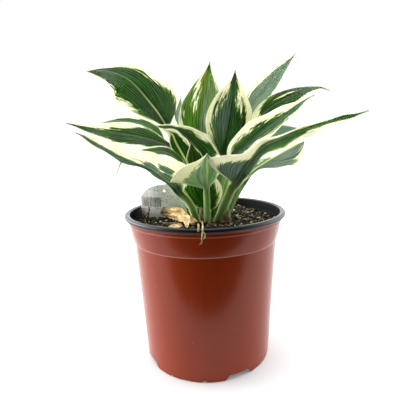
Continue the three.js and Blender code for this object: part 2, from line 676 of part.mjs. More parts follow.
function buildSoil(cutters) {
  const floor = FLOOR_UNDERSIDE + WALL + CLEARANCE;
  const slopeFoot = HUB_RADIUS + HUB_SLOPE;
  const knee = COLLAR_BOTTOM - 1;
  const edgeLevel = SOIL_LEVEL - SOIL_EDGE_DROP;
  const profile = [
    new THREE.Vector2(0, WALL + CLEARANCE),
    new THREE.Vector2(HUB_RADIUS - CLEARANCE, WALL + CLEARANCE),
    new THREE.Vector2(slopeFoot - CLEARANCE, floor),
    new THREE.Vector2(soilRadius(floor), floor),
    new THREE.Vector2(soilRadius(knee), knee),
    new THREE.Vector2(soilRadius(edgeLevel), edgeLevel),
  ];
  const flatRadius = soilRadius(edgeLevel) - SOIL_EDGE_WIDTH;
  for (let ring = SOIL_RINGS; ring >= 0; ring -= 1) {
    profile.push(new THREE.Vector2((flatRadius * ring) / SOIL_RINGS, SOIL_LEVEL));
  }
  const geometry = tidyGeometry(turned(profile, POT_SEGMENTS));
  const place = geometry.getAttribute('position');
  const random = seededNumbers(SOIL_SEED);
  for (let i = 0; i < place.count; i += 1) {
    const lift = (random() * 2 - 1) * SOIL_RELIEF;
    if (place.getZ(i) > edgeLevel + 0.1) place.setZ(i, place.getZ(i) + lift);
  }
  let soil = solidOf(geometry);
  for (const cutter of cutters) soil = soil.subtract(cutter);
  addPiece('soil', geometryOf(soil), COLOURS.soil, 0.95);
}

// Crown

function crownGeometry(growth) {
  const radius = CROWN_RADIUS + growth;
  const bottom = CROWN_BOTTOM - growth;
  const top = growth > 0 ? SOIL_LEVEL + CUT_DEPTH / 2 : CROWN_EDGE_LEVEL;
  const profile = [
    new THREE.Vector2(0, bottom),
    ...CROWN_BOWL.map(([share, rise]) => new THREE.Vector2(radius * share, bottom + rise)),
    new THREE.Vector2(radius, CROWN_EDGE_LEVEL - CROWN_SHOULDER),
    new THREE.Vector2(growth > 0 ? radius : radius - CROWN_CHAMFER, top),
    new THREE.Vector2(radius * CROWN_DOME.radius, top + CROWN_RISE * CROWN_DOME.rise),
    new THREE.Vector2(0, top + CROWN_RISE),
  ];
  const geometry = turned(profile, CROWN_SEGMENTS);
  geometry.translate(...CROWN_CENTRE, 0);
  return geometry;
}

// A papery sheath that grows from the crown beside the stalks: a thin upright scale with a bowed section.
function sheathGeometry({ place, facing, width, height, lean }) {
  const rows = 5;
  const halfColumns = 2;
  const top = [];
  const bottom = [];
  for (let row = 0; row <= rows; row += 1) {
    const share = row / rows;
    const half = (width / 2) * (1 - SHEATH_NARROWING * share ** SHEATH_ROUNDNESS);
    const upper = [];
    const lower = [];
    for (let column = -halfColumns; column <= halfColumns; column += 1) {
      const turn = facing + (column / halfColumns) * SHEATH_BOW_ANGLE;
      const out = new THREE.Vector3(Math.cos(radians(turn)), Math.sin(radians(turn)), 0);
      const across = new THREE.Vector3(-Math.sin(radians(facing)), Math.cos(radians(facing)), 0);
      const level = CROWN_EDGE_LEVEL - SHEATH_ROOT_DEPTH + (height + SHEATH_ROOT_DEPTH) * share;
      const point = new THREE.Vector3(place[0] + lean[0] * share, place[1] + lean[1] * share, level)
        .addScaledVector(across, (column / halfColumns) * half)
        .addScaledVector(out, 1 - SHEATH_BOW * (column / halfColumns) ** 2);
      upper.push(point);
      lower.push(point.clone().addScaledVector(out, -SHEATH_THICKNESS));
    }
    top.push(upper);
    bottom.push(lower);
  }
  return sheetGeometry(top, bottom);
}

function buildCrown() {
  let crown = solidOf(crownGeometry(0));
  for (const sheath of SHEATHS) crown = crown.add(solidOf(sheathGeometry(sheath)));
  for (const leaf of LEAVES) crown = crown.subtract(stalkHole(leaf));
  addPiece('crown', geometryOf(crown), COLOURS.crown, 0.9);
}

// Plant label

// The height of the label's upper edge at a distance across it.
function labelEdge(across) {
  const share = (across - LABEL_LEFT) / (LABEL_RIGHT - LABEL_LEFT);
  return curveAlong(LABEL_TOP_LEVELS, THREE.MathUtils.clamp(share, 0, 1));
}

function labelPoint(across, level, depth) {
  const angle = across / LABEL_ARC_RADIUS - Math.PI / 2;
  const radius = LABEL_ARC_RADIUS + depth;
  return new THREE.Vector3(
    LABEL_ARC_CENTRE[0] + Math.cos(angle) * radius,
    LABEL_ARC_CENTRE[1] + Math.sin(angle) * radius,
    level);
}

function labelSolid(growth) {
  const top = [];
  const bottom = [];
  const left = LABEL_LEFT - growth;
  const width = LABEL_RIGHT - LABEL_LEFT + 2 * growth;
  for (let row = 0; row <= LABEL_ROWS; row += 1) {
    const upper = [];
    const lower = [];
    for (let column = 0; column <= LABEL_COLUMNS; column += 1) {
      const across = left + (width * column) / LABEL_COLUMNS;
      const low = LABEL_FOOT - growth;
      const level = low + ((labelEdge(across) - low) * row) / LABEL_ROWS;
      upper.push(labelPoint(across, level, LABEL_THICKNESS / 2 + growth));
      lower.push(labelPoint(across, level, -LABEL_THICKNESS / 2 - growth));
    }
    top.push(upper);
    bottom.push(lower);
  }
  return solidOf(sheetGeometry(top, bottom));
}

function buildLabel() {
  const { across, level, radius, sides } = LABEL_HOLE;
  const drill = new THREE.CylinderGeometry(radius, radius, CUT_DEPTH, sides);
  const place = labelPoint(across, level, 0);
  drill.translate(place.x, place.y, place.z);
  addPiece('plant_label', geometryOf(labelSolid(0).subtract(solidOf(drill))), COLOURS.label, 0.5);
}

// Dry leaf, its scrap and the rootlets

function buildDryLeaf() {
  const random = seededNumbers(DRY_SEED);
  const top = [];
  const bottom = [];
  DRY_LEAF_EDGES.forEach(([low, high], row) => {
    const upper = [];
    const lower = [];
    const before = DRY_LEAF_EDGES[Math.max(row - 1, 0)][0];
    const after = DRY_LEAF_EDGES[Math.min(row + 1, DRY_LEAF_EDGES.length - 1)][0];
    const ahead = new THREE.Vector3(...after).sub(new THREE.Vector3(...before));
    const rise = new THREE.Vector3(...high).sub(new THREE.Vector3(...low));
    const outward = ahead.cross(rise).normalize();
    for (let column = 0; column <= DRY_COLUMNS; column += 1) {
      const share = column / DRY_COLUMNS;
      const belly = Math.sin(Math.PI * share) * DRY_BELLY;
      const point = new THREE.Vector3(...low).lerp(new THREE.Vector3(...high), share)
        .addScaledVector(outward, belly + (random() * 2 - 1) * DRY_CRUMPLE);
      upper.push(point);
      lower.push(point.clone().addScaledVector(outward, -DRY_THICKNESS));
    }
    top.push(upper);
    bottom.push(lower);
  });
  const body = solidOf(sheetGeometry(top, bottom));
  const lobe = solidOf(sheetGeometry(...leafGrids(DRY_LEAF_LOBE, 3, 7, 2)));
  addPiece('dry_leaf', geometryOf(body.add(lobe)), COLOURS.dry, 0.85);
}

function rootletGeometry(path) {
  const outline = new THREE.Shape();
  for (let i = 0; i < ROOTLET_SIDES; i += 1) {
    const angle = (2 * Math.PI * i) / ROOTLET_SIDES;
    const corner = [Math.cos(angle) * ROOTLET_RADIUS, Math.sin(angle) * ROOTLET_RADIUS];
    if (i === 0) outline.moveTo(...corner);
    else outline.lineTo(...corner);
  }
  return new THREE.ExtrudeGeometry(outline, {
    steps: (path.length - 1) * 3,
    bevelEnabled: false,
    extrudePath: new THREE.CatmullRomCurve3(path.map((point) => new THREE.Vector3(...point))),
  });
}

function buildRootlets() {
  const hanging = solidOf(rootletGeometry(HANGING_ROOTLET)).add(solidOf(rootletGeometry(ROOTLET_LOOP)));
  addPiece('rootlet_looped', geometryOf(hanging), COLOURS.root, 0.9);
  addPiece('rootlet_plain', tidyGeometry(rootletGeometry(STRAP_ROOTLET)), COLOURS.root, 0.9);
}

buildPot();
buildCrown();
buildSoil([solidOf(crownGeometry(CLEARANCE)), labelSolid(CLEARANCE)]);
for (const leaf of LEAVES) {
  const grids = leafGrids(leaf, STALK_ROWS, leaf.columns > 2 ? WIDE_BLADE_ROWS : BLADE_ROWS, leaf.columns);
  addPiece(leaf.name, sheetGeometry(...grids), COLOURS.leaf, 0.45);
}
buildLabel();
buildDryLeaf();
addPiece('dry_scrap', sheetGeometry(...leafGrids(DRY_SCRAP, 1, 5, 2)), COLOURS.dry, 0.85);
buildRootlets();

export default group;
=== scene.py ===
"""A potted hosta plant: finer leaves, pot, soil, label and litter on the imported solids."""

import math
import random

import bmesh
import bpy
import numpy as np
from mathutils import Matrix, Vector


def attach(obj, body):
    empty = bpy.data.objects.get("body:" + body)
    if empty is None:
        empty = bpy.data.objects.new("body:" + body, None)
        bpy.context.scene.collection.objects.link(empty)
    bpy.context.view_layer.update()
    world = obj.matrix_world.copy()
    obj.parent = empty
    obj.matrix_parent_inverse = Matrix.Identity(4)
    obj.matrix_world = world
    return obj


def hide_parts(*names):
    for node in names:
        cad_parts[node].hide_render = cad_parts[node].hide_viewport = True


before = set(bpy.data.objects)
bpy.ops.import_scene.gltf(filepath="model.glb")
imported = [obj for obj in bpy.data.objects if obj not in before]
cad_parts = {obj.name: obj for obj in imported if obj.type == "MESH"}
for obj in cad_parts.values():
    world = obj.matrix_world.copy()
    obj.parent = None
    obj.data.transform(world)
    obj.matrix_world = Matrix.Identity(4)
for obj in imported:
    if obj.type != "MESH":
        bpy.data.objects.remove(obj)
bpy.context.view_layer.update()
MM = 0.001

# Camera: its place in metres, its angles in degrees, its focal length in pixels of the photo

EYE = (0.0, -0.3672, 0.2296)
LOOK_DOWN = 11.26
LOOK_ASIDE = 0.5
ROLL = -1.41
FOCAL_PIXELS = 357.6
PHOTO_WIDTH = 416
SENSOR = 36.0

# Pot, in millimetres

POT_HEIGHT = 155.3
LIP_RADIUS = 82.5
LIP_HEIGHT = 153.2
LIP_BOTTOM = 150.8
LIP_INNER_RADIUS = 77.0
RIDGE_HEIGHT = 146.5
RIDGE_RADIUS = 78.7
COLLAR_BOTTOM = 126.3
COLLAR_RADIUS = 74.0
WALL_RADIUS_UNDER_COLLAR = 73.3
FOOT_RADIUS = 66.1
WALL = 1.7
LEDGE_HEIGHT = 145.7
LEDGE_WIDTH = 1.3
FLOOR_UNDERSIDE = 6.0
HUB_RADIUS = 20.0
HUB_SLOPE = 6.0
POT_STEPS = 144
FIRST_ARCH_ANGLE = -64.0
DRAIN_HOLES = 8
DRAIN_HOLE_RADIUS = 4.0
DRAIN_CIRCLE = 48.0
GAP = 0.35

# Cut-outs of the foot as (sideways, height) pairs, and how deep their cutters are
ARCH = [(-15, -2), (-15, 0), (-10.4, 4.7), (-9.4, 5.2), (10, 5.6), (11, 5.2), (15, 0), (15, -2)]
NOTCH = [(-1.8, -2), (-1.8, 1.8), (1.8, 1.8), (1.8, -2)]
SHALLOW_NOTCH = [(-4.5, -2), (-4, 0.8), (4, 0.8), (4.5, -2)]
NOTCH_TURN = 30
SHALLOW_NOTCH_TURN = 45
FOOT_CUT_DEPTH = 10
DRILL_DEPTH = 6
DRILL_SIDES = 32

SOIL_LEVEL = 144.6
ROOT_LEVEL = 138.0
CROWN_CENTRE = (3.0, 1.5)
CROWN_RADIUS = 31.0


def paint(red, green, blue, alpha=1.0):
    """A linear colour from screen values of 0 to 255."""
    def linear(value):
        share = value / 255
        return share / 12.92 if share <= 0.04045 else ((share + 0.055) / 1.055) ** 2.4
    return (linear(red), linear(green), linear(blue), alpha)


# Materials

LEAF_GLOW = 1.0
GLOW_DEPTH = 2.4
EVEN_GLOW = (1.0, 1.0, 1.0)
LEAF_MARKS = ("cream", "vein", "along", "across", "shade", "grey", "rib", "reach", "deep")


class Link:
    """One output of a node, with arithmetic that adds Math nodes."""

    def __init__(self, tree, socket):
        self.tree = tree
        self.socket = socket

    def math(self, operation, *values):
        return node(self.tree, "ShaderNodeMath", {"operation": operation}, values)

    def __add__(self, other):
        return self.math("ADD", self, other)

    def __radd__(self, other):
        return self.math("ADD", other, self)

    def __sub__(self, other):
        return self.math("SUBTRACT", self, other)

    def __rsub__(self, other):
        return self.math("SUBTRACT", other, self)

    def __mul__(self, other):
        return self.math("MULTIPLY", self, other)

    def __rmul__(self, other):
        return self.math("MULTIPLY", other, self)

    def __truediv__(self, other):
        return self.math("DIVIDE", self, other)

    def __abs__(self):
        return self.math("ABSOLUTE", self)

    def __pow__(self, other):
        return self.math("POWER", self, other)

    def step(self, low, high):
        """0 below low, 1 above high, smooth between. It falls where low is above high."""
        return node(self.tree, "ShaderNodeMapRange", {"interpolation_type": "SMOOTHSTEP"},
                    {"Value": self, "From Min": low, "From Max": high})


def node(tree, kind, settings=None, values=(), output=0):
    """Adds a node. values is a list for the first sockets, or a dict by socket name or number."""
    made = tree.nodes.new(kind)
    for key, value in (settings or {}).items():
        if key == "stops":
            ramp = made.color_ramp
            while len(ramp.elements) < len(value):
                ramp.elements.new(0.5)
            for element, (place, colour) in zip(ramp.elements, value):
                element.position = place
                element.color = colour
        else:
            setattr(made, key, value)
    pairs = values.items() if isinstance(values, dict) else enumerate(values)
    for key, value in pairs:
        socket = made.inputs[key]
        if isinstance(value, Link):
            tree.links.new(value.socket, socket)
        else:
            socket.default_value = value
    return Link(tree, made.outputs[output])


class Finish:
    """A material under construction, with short calls for the nodes it uses often."""

    def __init__(self, name, **constants):
        self.material = bpy.data.materials.new(name)
        self.material.use_nodes = True
        self.tree = self.material.node_tree
        self.shader = self.tree.nodes["Principled BSDF"]
        for socket, value in constants.items():
            self.shader.inputs[socket.replace("_", " ")].default_value = value
        place = self.tree.nodes.new("ShaderNodeTexCoord")
        self.place = Link(self.tree, place.outputs["Object"])

    def attribute(self, name):
        return node(self.tree, "ShaderNodeAttribute", {"attribute_name": name}, output="Fac")

    def axes(self, vector=None):
        made = self.tree.nodes.new("ShaderNodeSeparateXYZ")
        self.tree.links.new((vector or self.place).socket, made.inputs[0])
        return [Link(self.tree, output) for output in made.outputs]

    def point(self, x, y, z):
        return node(self.tree, "ShaderNodeCombineXYZ", {}, (x, y, z))

    def noise(self, scale, detail=3.0, rough=0.5, at=None):
        return node(self.tree, "ShaderNodeTexNoise", {},
                    {"Vector": at or self.place, "Scale": scale, "Detail": detail, "Roughness": rough})

    def mix(self, factor, first, second, blend="MIX"):
        return node(self.tree, "ShaderNodeMix", {"data_type": "RGBA", "blend_type": blend},
                    {0: factor, 6: first, 7: second}, output=2)

    def ramp(self, factor, *stops):
        return node(self.tree, "ShaderNodeValToRGB", {"stops": stops}, (factor,))

    def bump(self, height, distance, strength=1.0):
        return node(self.tree, "ShaderNodeBump", {},
                    {"Height": height, "Distance": distance, "Strength": strength})

    def set(self, **links):
        for socket, link in links.items():
            self.tree.links.new(link.socket, self.shader.inputs[socket.replace("_", " ")])
        return self.material


def leaf_finish(name, under, depth):
    """Ribbed green leaf tissue with cream margins that break up into flames along the veins."""
    finish = Finish(name, Specular_IOR_Level=0.16, Subsurface_Weight=LEAF_GLOW, Subsurface_Scale=depth,
                    Subsurface_Radius=EVEN_GLOW)
    cream, vein, along, across, shade, grey, rib, reach, deep = (
        finish.attribute(mark) for mark in LEAF_MARKS)
    groove_shade_and_deep_green = paint(2, 16, 0)

    def lanes(count, spread, stretch, seed, detail=1.0):
        """Noise that changes from lane to lane between the veins and slowly along them."""
        lane = vein.math("FLOOR", vein * count)
        place = finish.point(lane * spread, along * stretch, shade * seed)
        return finish.noise(1.0, detail, 0.5, place) - 0.5

    flames = lanes(1.6, 3.17, 0.045, 41.0)
    licks = lanes(5.0, 2.37, 0.13, 23.0)
    border = cream + (flames * 0.5 + licks * 0.6) * reach
    creamy = border.step(-0.2, 0.3)
    half_tone = (border / reach + lanes(2.5, 4.1, 0.06, 67.0) * 0.5).step(-0.09, -0.03)
    streak = finish.noise(1.0, 3.0, 0.6, finish.point(vein * 3.3, along * 0.03, shade * 17.0))
    hair = finish.noise(1.0, 1.0, 0.5, finish.point(vein * 8.0, along * 0.06, shade * 5.0))
    hair = (hair - 0.5) * reach.step(2.0, 18.0) + 0.5
    cloud = finish.noise(38.0, 2.0, 0.5)
    tone = (streak * 0.9 + hair * 0.5 + cloud * 0.5 - 0.42).step(0.33, 0.7)
    if under:
        green = finish.mix(tone, paint(80, 128, 74), paint(146, 186, 128))
        sheen = paint(112, 142, 108)
        lighter_green = paint(176, 210, 160)
        edge = finish.mix(streak, paint(130, 160, 78), paint(180, 198, 116))
        white = finish.mix(streak, paint(236, 238, 156), paint(255, 255, 218))
    else:
        green = finish.mix(tone, paint(2, 30, 0), paint(34, 92, 2))
        sheen = paint(74, 108, 80)
        lighter_green = paint(104, 158, 40)
        edge = finish.mix(streak, paint(62, 112, 12), paint(168, 194, 70))
        white = finish.mix(streak.step(0.3, 0.65), paint(230, 232, 136), paint(255, 254, 216))
    # Painted sheen: where grey is high, streaks of the grey-green sheen colour stand in for the bright room
    # reflected in the leaf.
    painted_sheen_part = (grey + streak * 2.4 + hair * 1.2 - 1.8).step(0.15, 1.05) * grey.step(0.0, 0.3)
    green = finish.mix(painted_sheen_part, green, sheen)
    wander = finish.noise(1.0, 2.0, 0.5, finish.point(vein * 0.6, along * 0.02, shade * 29.0)) - 0.5
    drift = vein + wander * 1.4
    nearest = drift.math("ROUND", drift)
    from_vein = abs(drift - nearest)
    strong = finish.noise(1.0, 1.0, 0.5, finish.point(nearest * 5.3, along * 0.03, shade * 53.0))
    strong = strong.step(0.35, 0.6)
    groove = 1.0 - (1.0 - from_vein.step(0.0, 0.3)) * strong
    # Leaf by leaf and along each leaf, the green is darkened towards the deep green where deep is above zero,
    # and lightened towards the lighter green where it is below zero.
    green = finish.mix(deep, green, groove_shade_and_deep_green)
    green = finish.mix(deep * -1.0, green, lighter_green)
    green = finish.mix(hair.step(0.5, 0.32) * (0.35 if under else 0.6), green, paint(2, 20, 0))
    # Painted shade along the vein grooves.
    green = finish.mix((1.0 - groove) * (0.5 if under else 0.9), green, groove_shade_and_deep_green)
    # Painted highlight on the crests between the veins.
    green = finish.mix(from_vein.step(0.4, 0.5) * strong * 0.26, green, paint(150, 190, 110))
    colour = finish.mix(half_tone * 0.85, green, edge)
    colour = finish.mix(creamy, colour, white)
    on_rib = (abs(across) / (1.1 - along * 0.004)).step(1.3, 0.5) * along.step(-4.0, 6.0)
    colour = finish.mix(on_rib * rib, colour, paint(204, 226, 138))
    stalk = along.step(8.0, -16.0)
    stalk_tone = finish.mix(abs(across).step(1.4, 3.4), paint(160, 200, 122), paint(200, 224, 150))
    # Painted shade: stalks of leaves with a low shade value are darkened, standing in for the shade among the
    # stalks.
    stalk_tone = finish.mix(shade.step(0.55, 0.3) * 0.75, stalk_tone, paint(24, 60, 14))
    colour = finish.mix(stalk, colour, stalk_tone)
    ripple = finish.noise(900.0, 2.0, 0.6)
    relief = (groove * 0.6 + hair * 0.3 + streak * 0.5) * reach.step(1.0, 12.0)
    finish.set(Base_Color=colour,
               Roughness=ripple * 0.14 + (0.5 if under else 0.36),
               Normal=finish.bump(relief, 0.0004, 0.8))
    return finish.material


def pot_finish():
    """Terracotta-coloured moulded plastic with a satin gloss."""
    finish = Finish("pot_terracotta", Specular_IOR_Level=0.3)
    x, y, z = finish.axes()
    cloud = finish.noise(14.0, 3.0, 0.55)
    stretched = finish.point(x * 40.0, y * 40.0, z * 6.0)
    streak = finish.noise(3.0, 4.0, 0.6, stretched)
    colour = finish.mix(cloud, paint(130, 43, 11), paint(136, 47, 13))
    colour = finish.mix(streak.step(0.55, 0.8) * 0.15, colour, paint(146, 56, 24))
    # Painted light from the floor: the wall is lighter towards the foot.
    floor_light_at_foot = z.step(0.030, 0.0)
    colour = finish.mix(floor_light_at_foot * 0.25, colour, paint(146, 56, 28))
    # Painted highlights: thin lighter lines along the rounded edge of the collar and along the ridge.
    collar_edge_highlight = z.step(0.1258, 0.1264) * z.step(0.1278, 0.1272)
    ridge_highlight = z.step(0.1459, 0.1464) * z.step(0.1474, 0.147) * 0.6
    colour = finish.mix((collar_edge_highlight + ridge_highlight) * 0.4, colour, paint(214, 140, 120))
    dust = finish.noise(160.0, 4.0, 0.7).step(0.62, 0.8)
    colour = finish.mix(dust * 0.06, colour, paint(205, 150, 130))
    grain = finish.noise(700.0, 2.0, 0.5)
    finish.set(Base_Color=colour, Roughness=0.16 + streak * 0.12 + dust * 0.1,
               Normal=finish.bump(grain * 0.25 + streak * 0.9, 0.00012, 0.5))
    return finish.material


def black_plastic_finish(name, gloss, rough):
    finish = Finish(name, Specular_IOR_Level=gloss)
    cloud = finish.noise(30.0, 3.0, 0.6)
    dust = finish.noise(210.0, 4.0, 0.7).step(0.58, 0.8)
    colour = finish.mix(dust * 0.25, paint(12, 13, 14), paint(80, 74, 64))
    finish.set(Base_Color=colour, Roughness=rough + cloud * 0.16 + dust * 0.2,
               Normal=finish.bump(finish.noise(500.0, 2.0, 0.5), 0.00006, 0.5))
    return finish.material


def soil_finish():
    finish = Finish("soil_crumb", Roughness=0.95, Specular_IOR_Level=0.25)
    crumb = finish.noise(420.0, 5.0, 0.7)
    patch = finish.noise(70.0, 3.0, 0.6)
    colour = finish.ramp(crumb, (0.34, paint(5, 5, 3)), (0.56, paint(24, 21, 13)), (0.76, paint(84, 74, 48)))
    colour = finish.mix(patch.step(0.5, 0.75) * 0.35, colour, paint(30, 22, 16))
    finish.set(Base_Color=colour, Normal=finish.bump(crumb, 0.0012, 0.9))
    return finish.material


def flake_finish(name, dark, light, rough=0.9):
    """Bark, fibre, perlite, crown, twig or papery sheath: two tones, mottled and grained."""
    finish = Finish(name, Specular_IOR_Level=0.3)
    mottle = finish.noise(260.0, 4.0, 0.6)
    patch = finish.noise(90.0, 2.0, 0.5)
    colour = finish.mix((mottle * 0.6 + patch * 0.6).step(0.4, 0.8), dark, light)
    finish.set(Base_Color=colour, Roughness=mottle * 0.1 + (rough - 0.05),
               Normal=finish.bump(mottle, 0.0005, 0.8))
    return finish.material


def dry_leaf_finish():
    """Bleached leaf tissue with brown fibres along its length, painted shade in the hollows of its folds and a
    darker left end.
    """
    finish = Finish("dry_leaf_tan", Specular_IOR_Level=0.3, Subsurface_Weight=0.3, Subsurface_Scale=0.001,
                    Subsurface_Radius=EVEN_GLOW)
    x, y, z = finish.axes()
    along, across = x * 0.66 - y * 0.75, x * 0.75 + y * 0.66
    fibres = finish.noise(1.0, 3.0, 0.6, finish.point(along * 50.0, across * 520.0, z * 520.0))
    patch = finish.noise(110.0, 3.0, 0.6)
    colour = finish.mix(fibres.step(0.3, 0.62), paint(168, 128, 74), paint(236, 210, 154))
    # Painted shade in the hollows of the crumpled relief.
    colour = finish.mix(patch.step(0.5, 0.35) * 0.45, colour, paint(150, 108, 62))
    # Darker towards the left end.
    colour = finish.mix(x.step(-0.036, -0.043) * 0.75, colour, paint(80, 52, 38))
    finish.set(Base_Color=colour, Roughness=fibres * 0.1 + 0.6,
               Normal=finish.bump(fibres * 0.4 + patch * 1.2, 0.0022, 1.0))
    return finish.material


def label_finish():
    """Weathered pale plastic with a faded ruled patch and splashes of soil."""
    finish = Finish("label_pale", Specular_IOR_Level=0.4, Subsurface_Weight=0.6, Subsurface_Scale=0.002,
                    Subsurface_Radius=EVEN_GLOW)
    across = finish.attribute("across")
    up = finish.attribute("along")
    speck = finish.noise(620.0, 2.0, 0.6).step(0.59, 0.67)
    splash = finish.noise(150.0, 5.0, 0.75).step(0.54, 0.66)
    cloud = finish.noise(60.0, 3.0, 0.6)
    colour = finish.mix(cloud, paint(188, 188, 186), paint(232, 234, 236))
    rules = finish.noise(1.0, 3.0, 0.7, finish.point(across * 1.7, up * 0.06, 0.0)).step(0.46, 0.6)
    patch = across.step(-23.0, -22.0) * across.step(0.5, -0.5) * up.step(156.5, 157.5) * up.step(168.5, 166.0)
    colour = finish.mix((rules * 0.65 + 0.3) * patch, colour, paint(46, 48, 42))
    # Darker and browner towards the left edge and towards the bottom.
    left_and_low_darkening = across.step(-12.0, -25.0) * 0.7 + up.step(160.0, 145.0) * 0.3
    colour = finish.mix(speck * 0.8 + splash * 0.35, colour, paint(60, 56, 46))
    colour = finish.mix(left_and_low_darkening, colour, paint(132, 124, 104))
    finish.set(Base_Color=colour, Roughness=cloud * 0.2 + 0.42,
               Normal=finish.bump(splash + speck, 0.0002, 0.5))
    return finish.material


# Making and handing over pieces

def clear_selection():
    if bpy.context.object and bpy.context.object.mode != "OBJECT":
        bpy.ops.object.mode_set(mode="OBJECT")
    bpy.ops.object.select_all(action="DESELECT")


def pick(piece):
    clear_selection()
    piece.select_set(True)
    bpy.context.view_layer.objects.active = piece


def settle(piece):
    """Puts the place, turn and size of a piece into its mesh."""
    pick(piece)
    bpy.ops.object.transform_apply(location=True, rotation=True, scale=True)


def apply_modifier(piece, kind, **settings):
    pick(piece)
    modifier = piece.modifiers.new(kind.title(), kind)
    for key, value in settings.items():
        setattr(modifier, key, value)
    bpy.ops.object.modifier_apply(modifier=modifier.name)


def hand_over(piece, name, slot, *nodes, angle=None):
    """Names a finished piece, smooths it, ties it to the body and hides the nodes it stands for; slot is not
    used.
    """
    piece.name = name
    settle(piece)
    if angle is None:
        bpy.ops.object.shade_smooth()
    else:
        bpy.ops.object.shade_smooth_by_angle(angle=math.radians(angle))
    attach(piece, "root")
    if nodes:
        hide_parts(*nodes)


def active():
    return bpy.context.view_layer.objects.active


def add_grid(columns, rows):
    """A flat grid from -1 to 1 each way."""
    clear_selection()
    bpy.ops.mesh.primitive_grid_add(x_subdivisions=columns, y_subdivisions=rows, size=2)
    return active()


def store(mesh, name, values):
    """Keeps one number a point under a name that materials read."""
    attribute = mesh.attributes.new(name, "FLOAT", "POINT")
    attribute.data.foreach_set("value", np.asarray(values, dtype=np.float32).ravel())


# Leaves

CHANNEL_ANGLE = 42.0
BLADE_START_BEFORE = 14.0
BLADE_START_LENGTH = 32.0
BLADE_THICKNESS = 0.55
RIB_REACH = 2.4
LEFT, RIGHT = -1, 1
PATCH_EDGE = 3.0
PATCH_MOST = 20
PATH_STEPS = 24
LARGE_LEAF = 40
LARGE_GRID = (96, 80)
SMALL_GRID = (72, 48)
STALK_ROWS = 0.3
STALK_BEND = -10
LEAST_REACH = 0.4
FOLD_ROUNDING = 2.2
WAVE_SHIFT = 0.37
GROOVE_DEPTH = 0.35
RIB_FADE = 0.93
RIB_LIGHT = (0.12, 0.05, 0)
REACH_MARK_MOST = 20


def smooth(value):
    return value * value * (3 - 2 * value)


def along_list(values, share):
    """Values a share of the way along a short list, eased from each entry to the next."""
    values = np.asarray(values, dtype=float)
    place = np.clip(share, 0, 1) * (len(values) - 1)
    low = np.minimum(place.astype(int), len(values) - 2)
    part = smooth(place - low)
    if values.ndim > 1:
        part = part[:, None]
    return values[low] * (1 - part) + values[low + 1] * part


def straight_list(values, share):
    """Values a share of the way along a short list, on straight lines between the entries."""
    return np.interp(share, np.linspace(0, 1, len(values)), values)


def cubic(a, b, c, d, t):
    """A smooth curve from b to c, with a before and d after them."""
    return 0.5 * (2 * b + (c - a) * t + (2 * a - 5 * b + 4 * c - d) * t ** 2
                  + (3 * b - a - 3 * c + d) * t ** 3)


def smooth_path(points):
    """A dense smooth path through the points, with PATH_STEPS steps from each point to the next."""
    points = np.asarray(points, dtype=float)
    ends = np.vstack([2 * points[0] - points[1], points, 2 * points[-1] - points[-2]])
    t = (np.arange(PATH_STEPS) / PATH_STEPS)[:, None]
    return np.vstack([*(cubic(*ends[i:i + 4], t) for i in range(len(points) - 1)), points[-1:]])


def unit(vectors):
    return vectors / np.linalg.norm(vectors, axis=-1, keepdims=True)


def curve_list(values, share):
    """Values a share of the way along a short list, on a smooth curve through the entries."""
    values = np.concatenate([[2 * values[0] - values[1]], values, [2 * values[-1] - values[-2]]])
    place = np.clip(share, 0, 1) * (len(values) - 3)
    low = np.minimum(place.astype(int), len(values) - 4)
    return cubic(*(values[low + k] for k in range(4)), place - low)


def path_lengths(path):
    """How far along the path each of its points is."""
    return np.concatenate([[0], np.cumsum(np.linalg.norm(np.diff(path, axis=0), axis=1))])


def read_off(at, places, points):
    """Points that stand at some places, read off at other places."""
    return np.stack([np.interp(at, places, points[:, k]) for k in range(3)], axis=-1)


def sweep(path, lengths, distance, faces, share):
    """Points at distances along a path, with the direction each faces and the direction across."""
    middle = read_off(distance, lengths, path)
    tangent = unit(read_off(distance, lengths, np.gradient(path, axis=0)))
    face = unit(along_list(faces, share))
    normal = unit(face - (face * tangent).sum(-1, keepdims=True) * tangent)
    return middle, normal, np.cross(tangent, normal)


def side(reach, widest=0.4, swell=0.8, taper=1.35, fold=(25, 20, 15), bend=(-30, -30, -20), cream=(0, 0),
         grey=(0.3, 0.3)):
    """One side of a blade: its share of the half width, where it is widest, how it fills and thins, its angle
    and curl, and how much of it is cream and how much painted sheen it has from the stalk to the tip. A list
    as reach gives the side's width in millimetres from the stalk to the tip instead."""
    return {"reach": reach, "widest": widest, "swell": swell, "taper": taper, "fold": fold, "bend": bend,
            "cream": cream, "grey": grey}


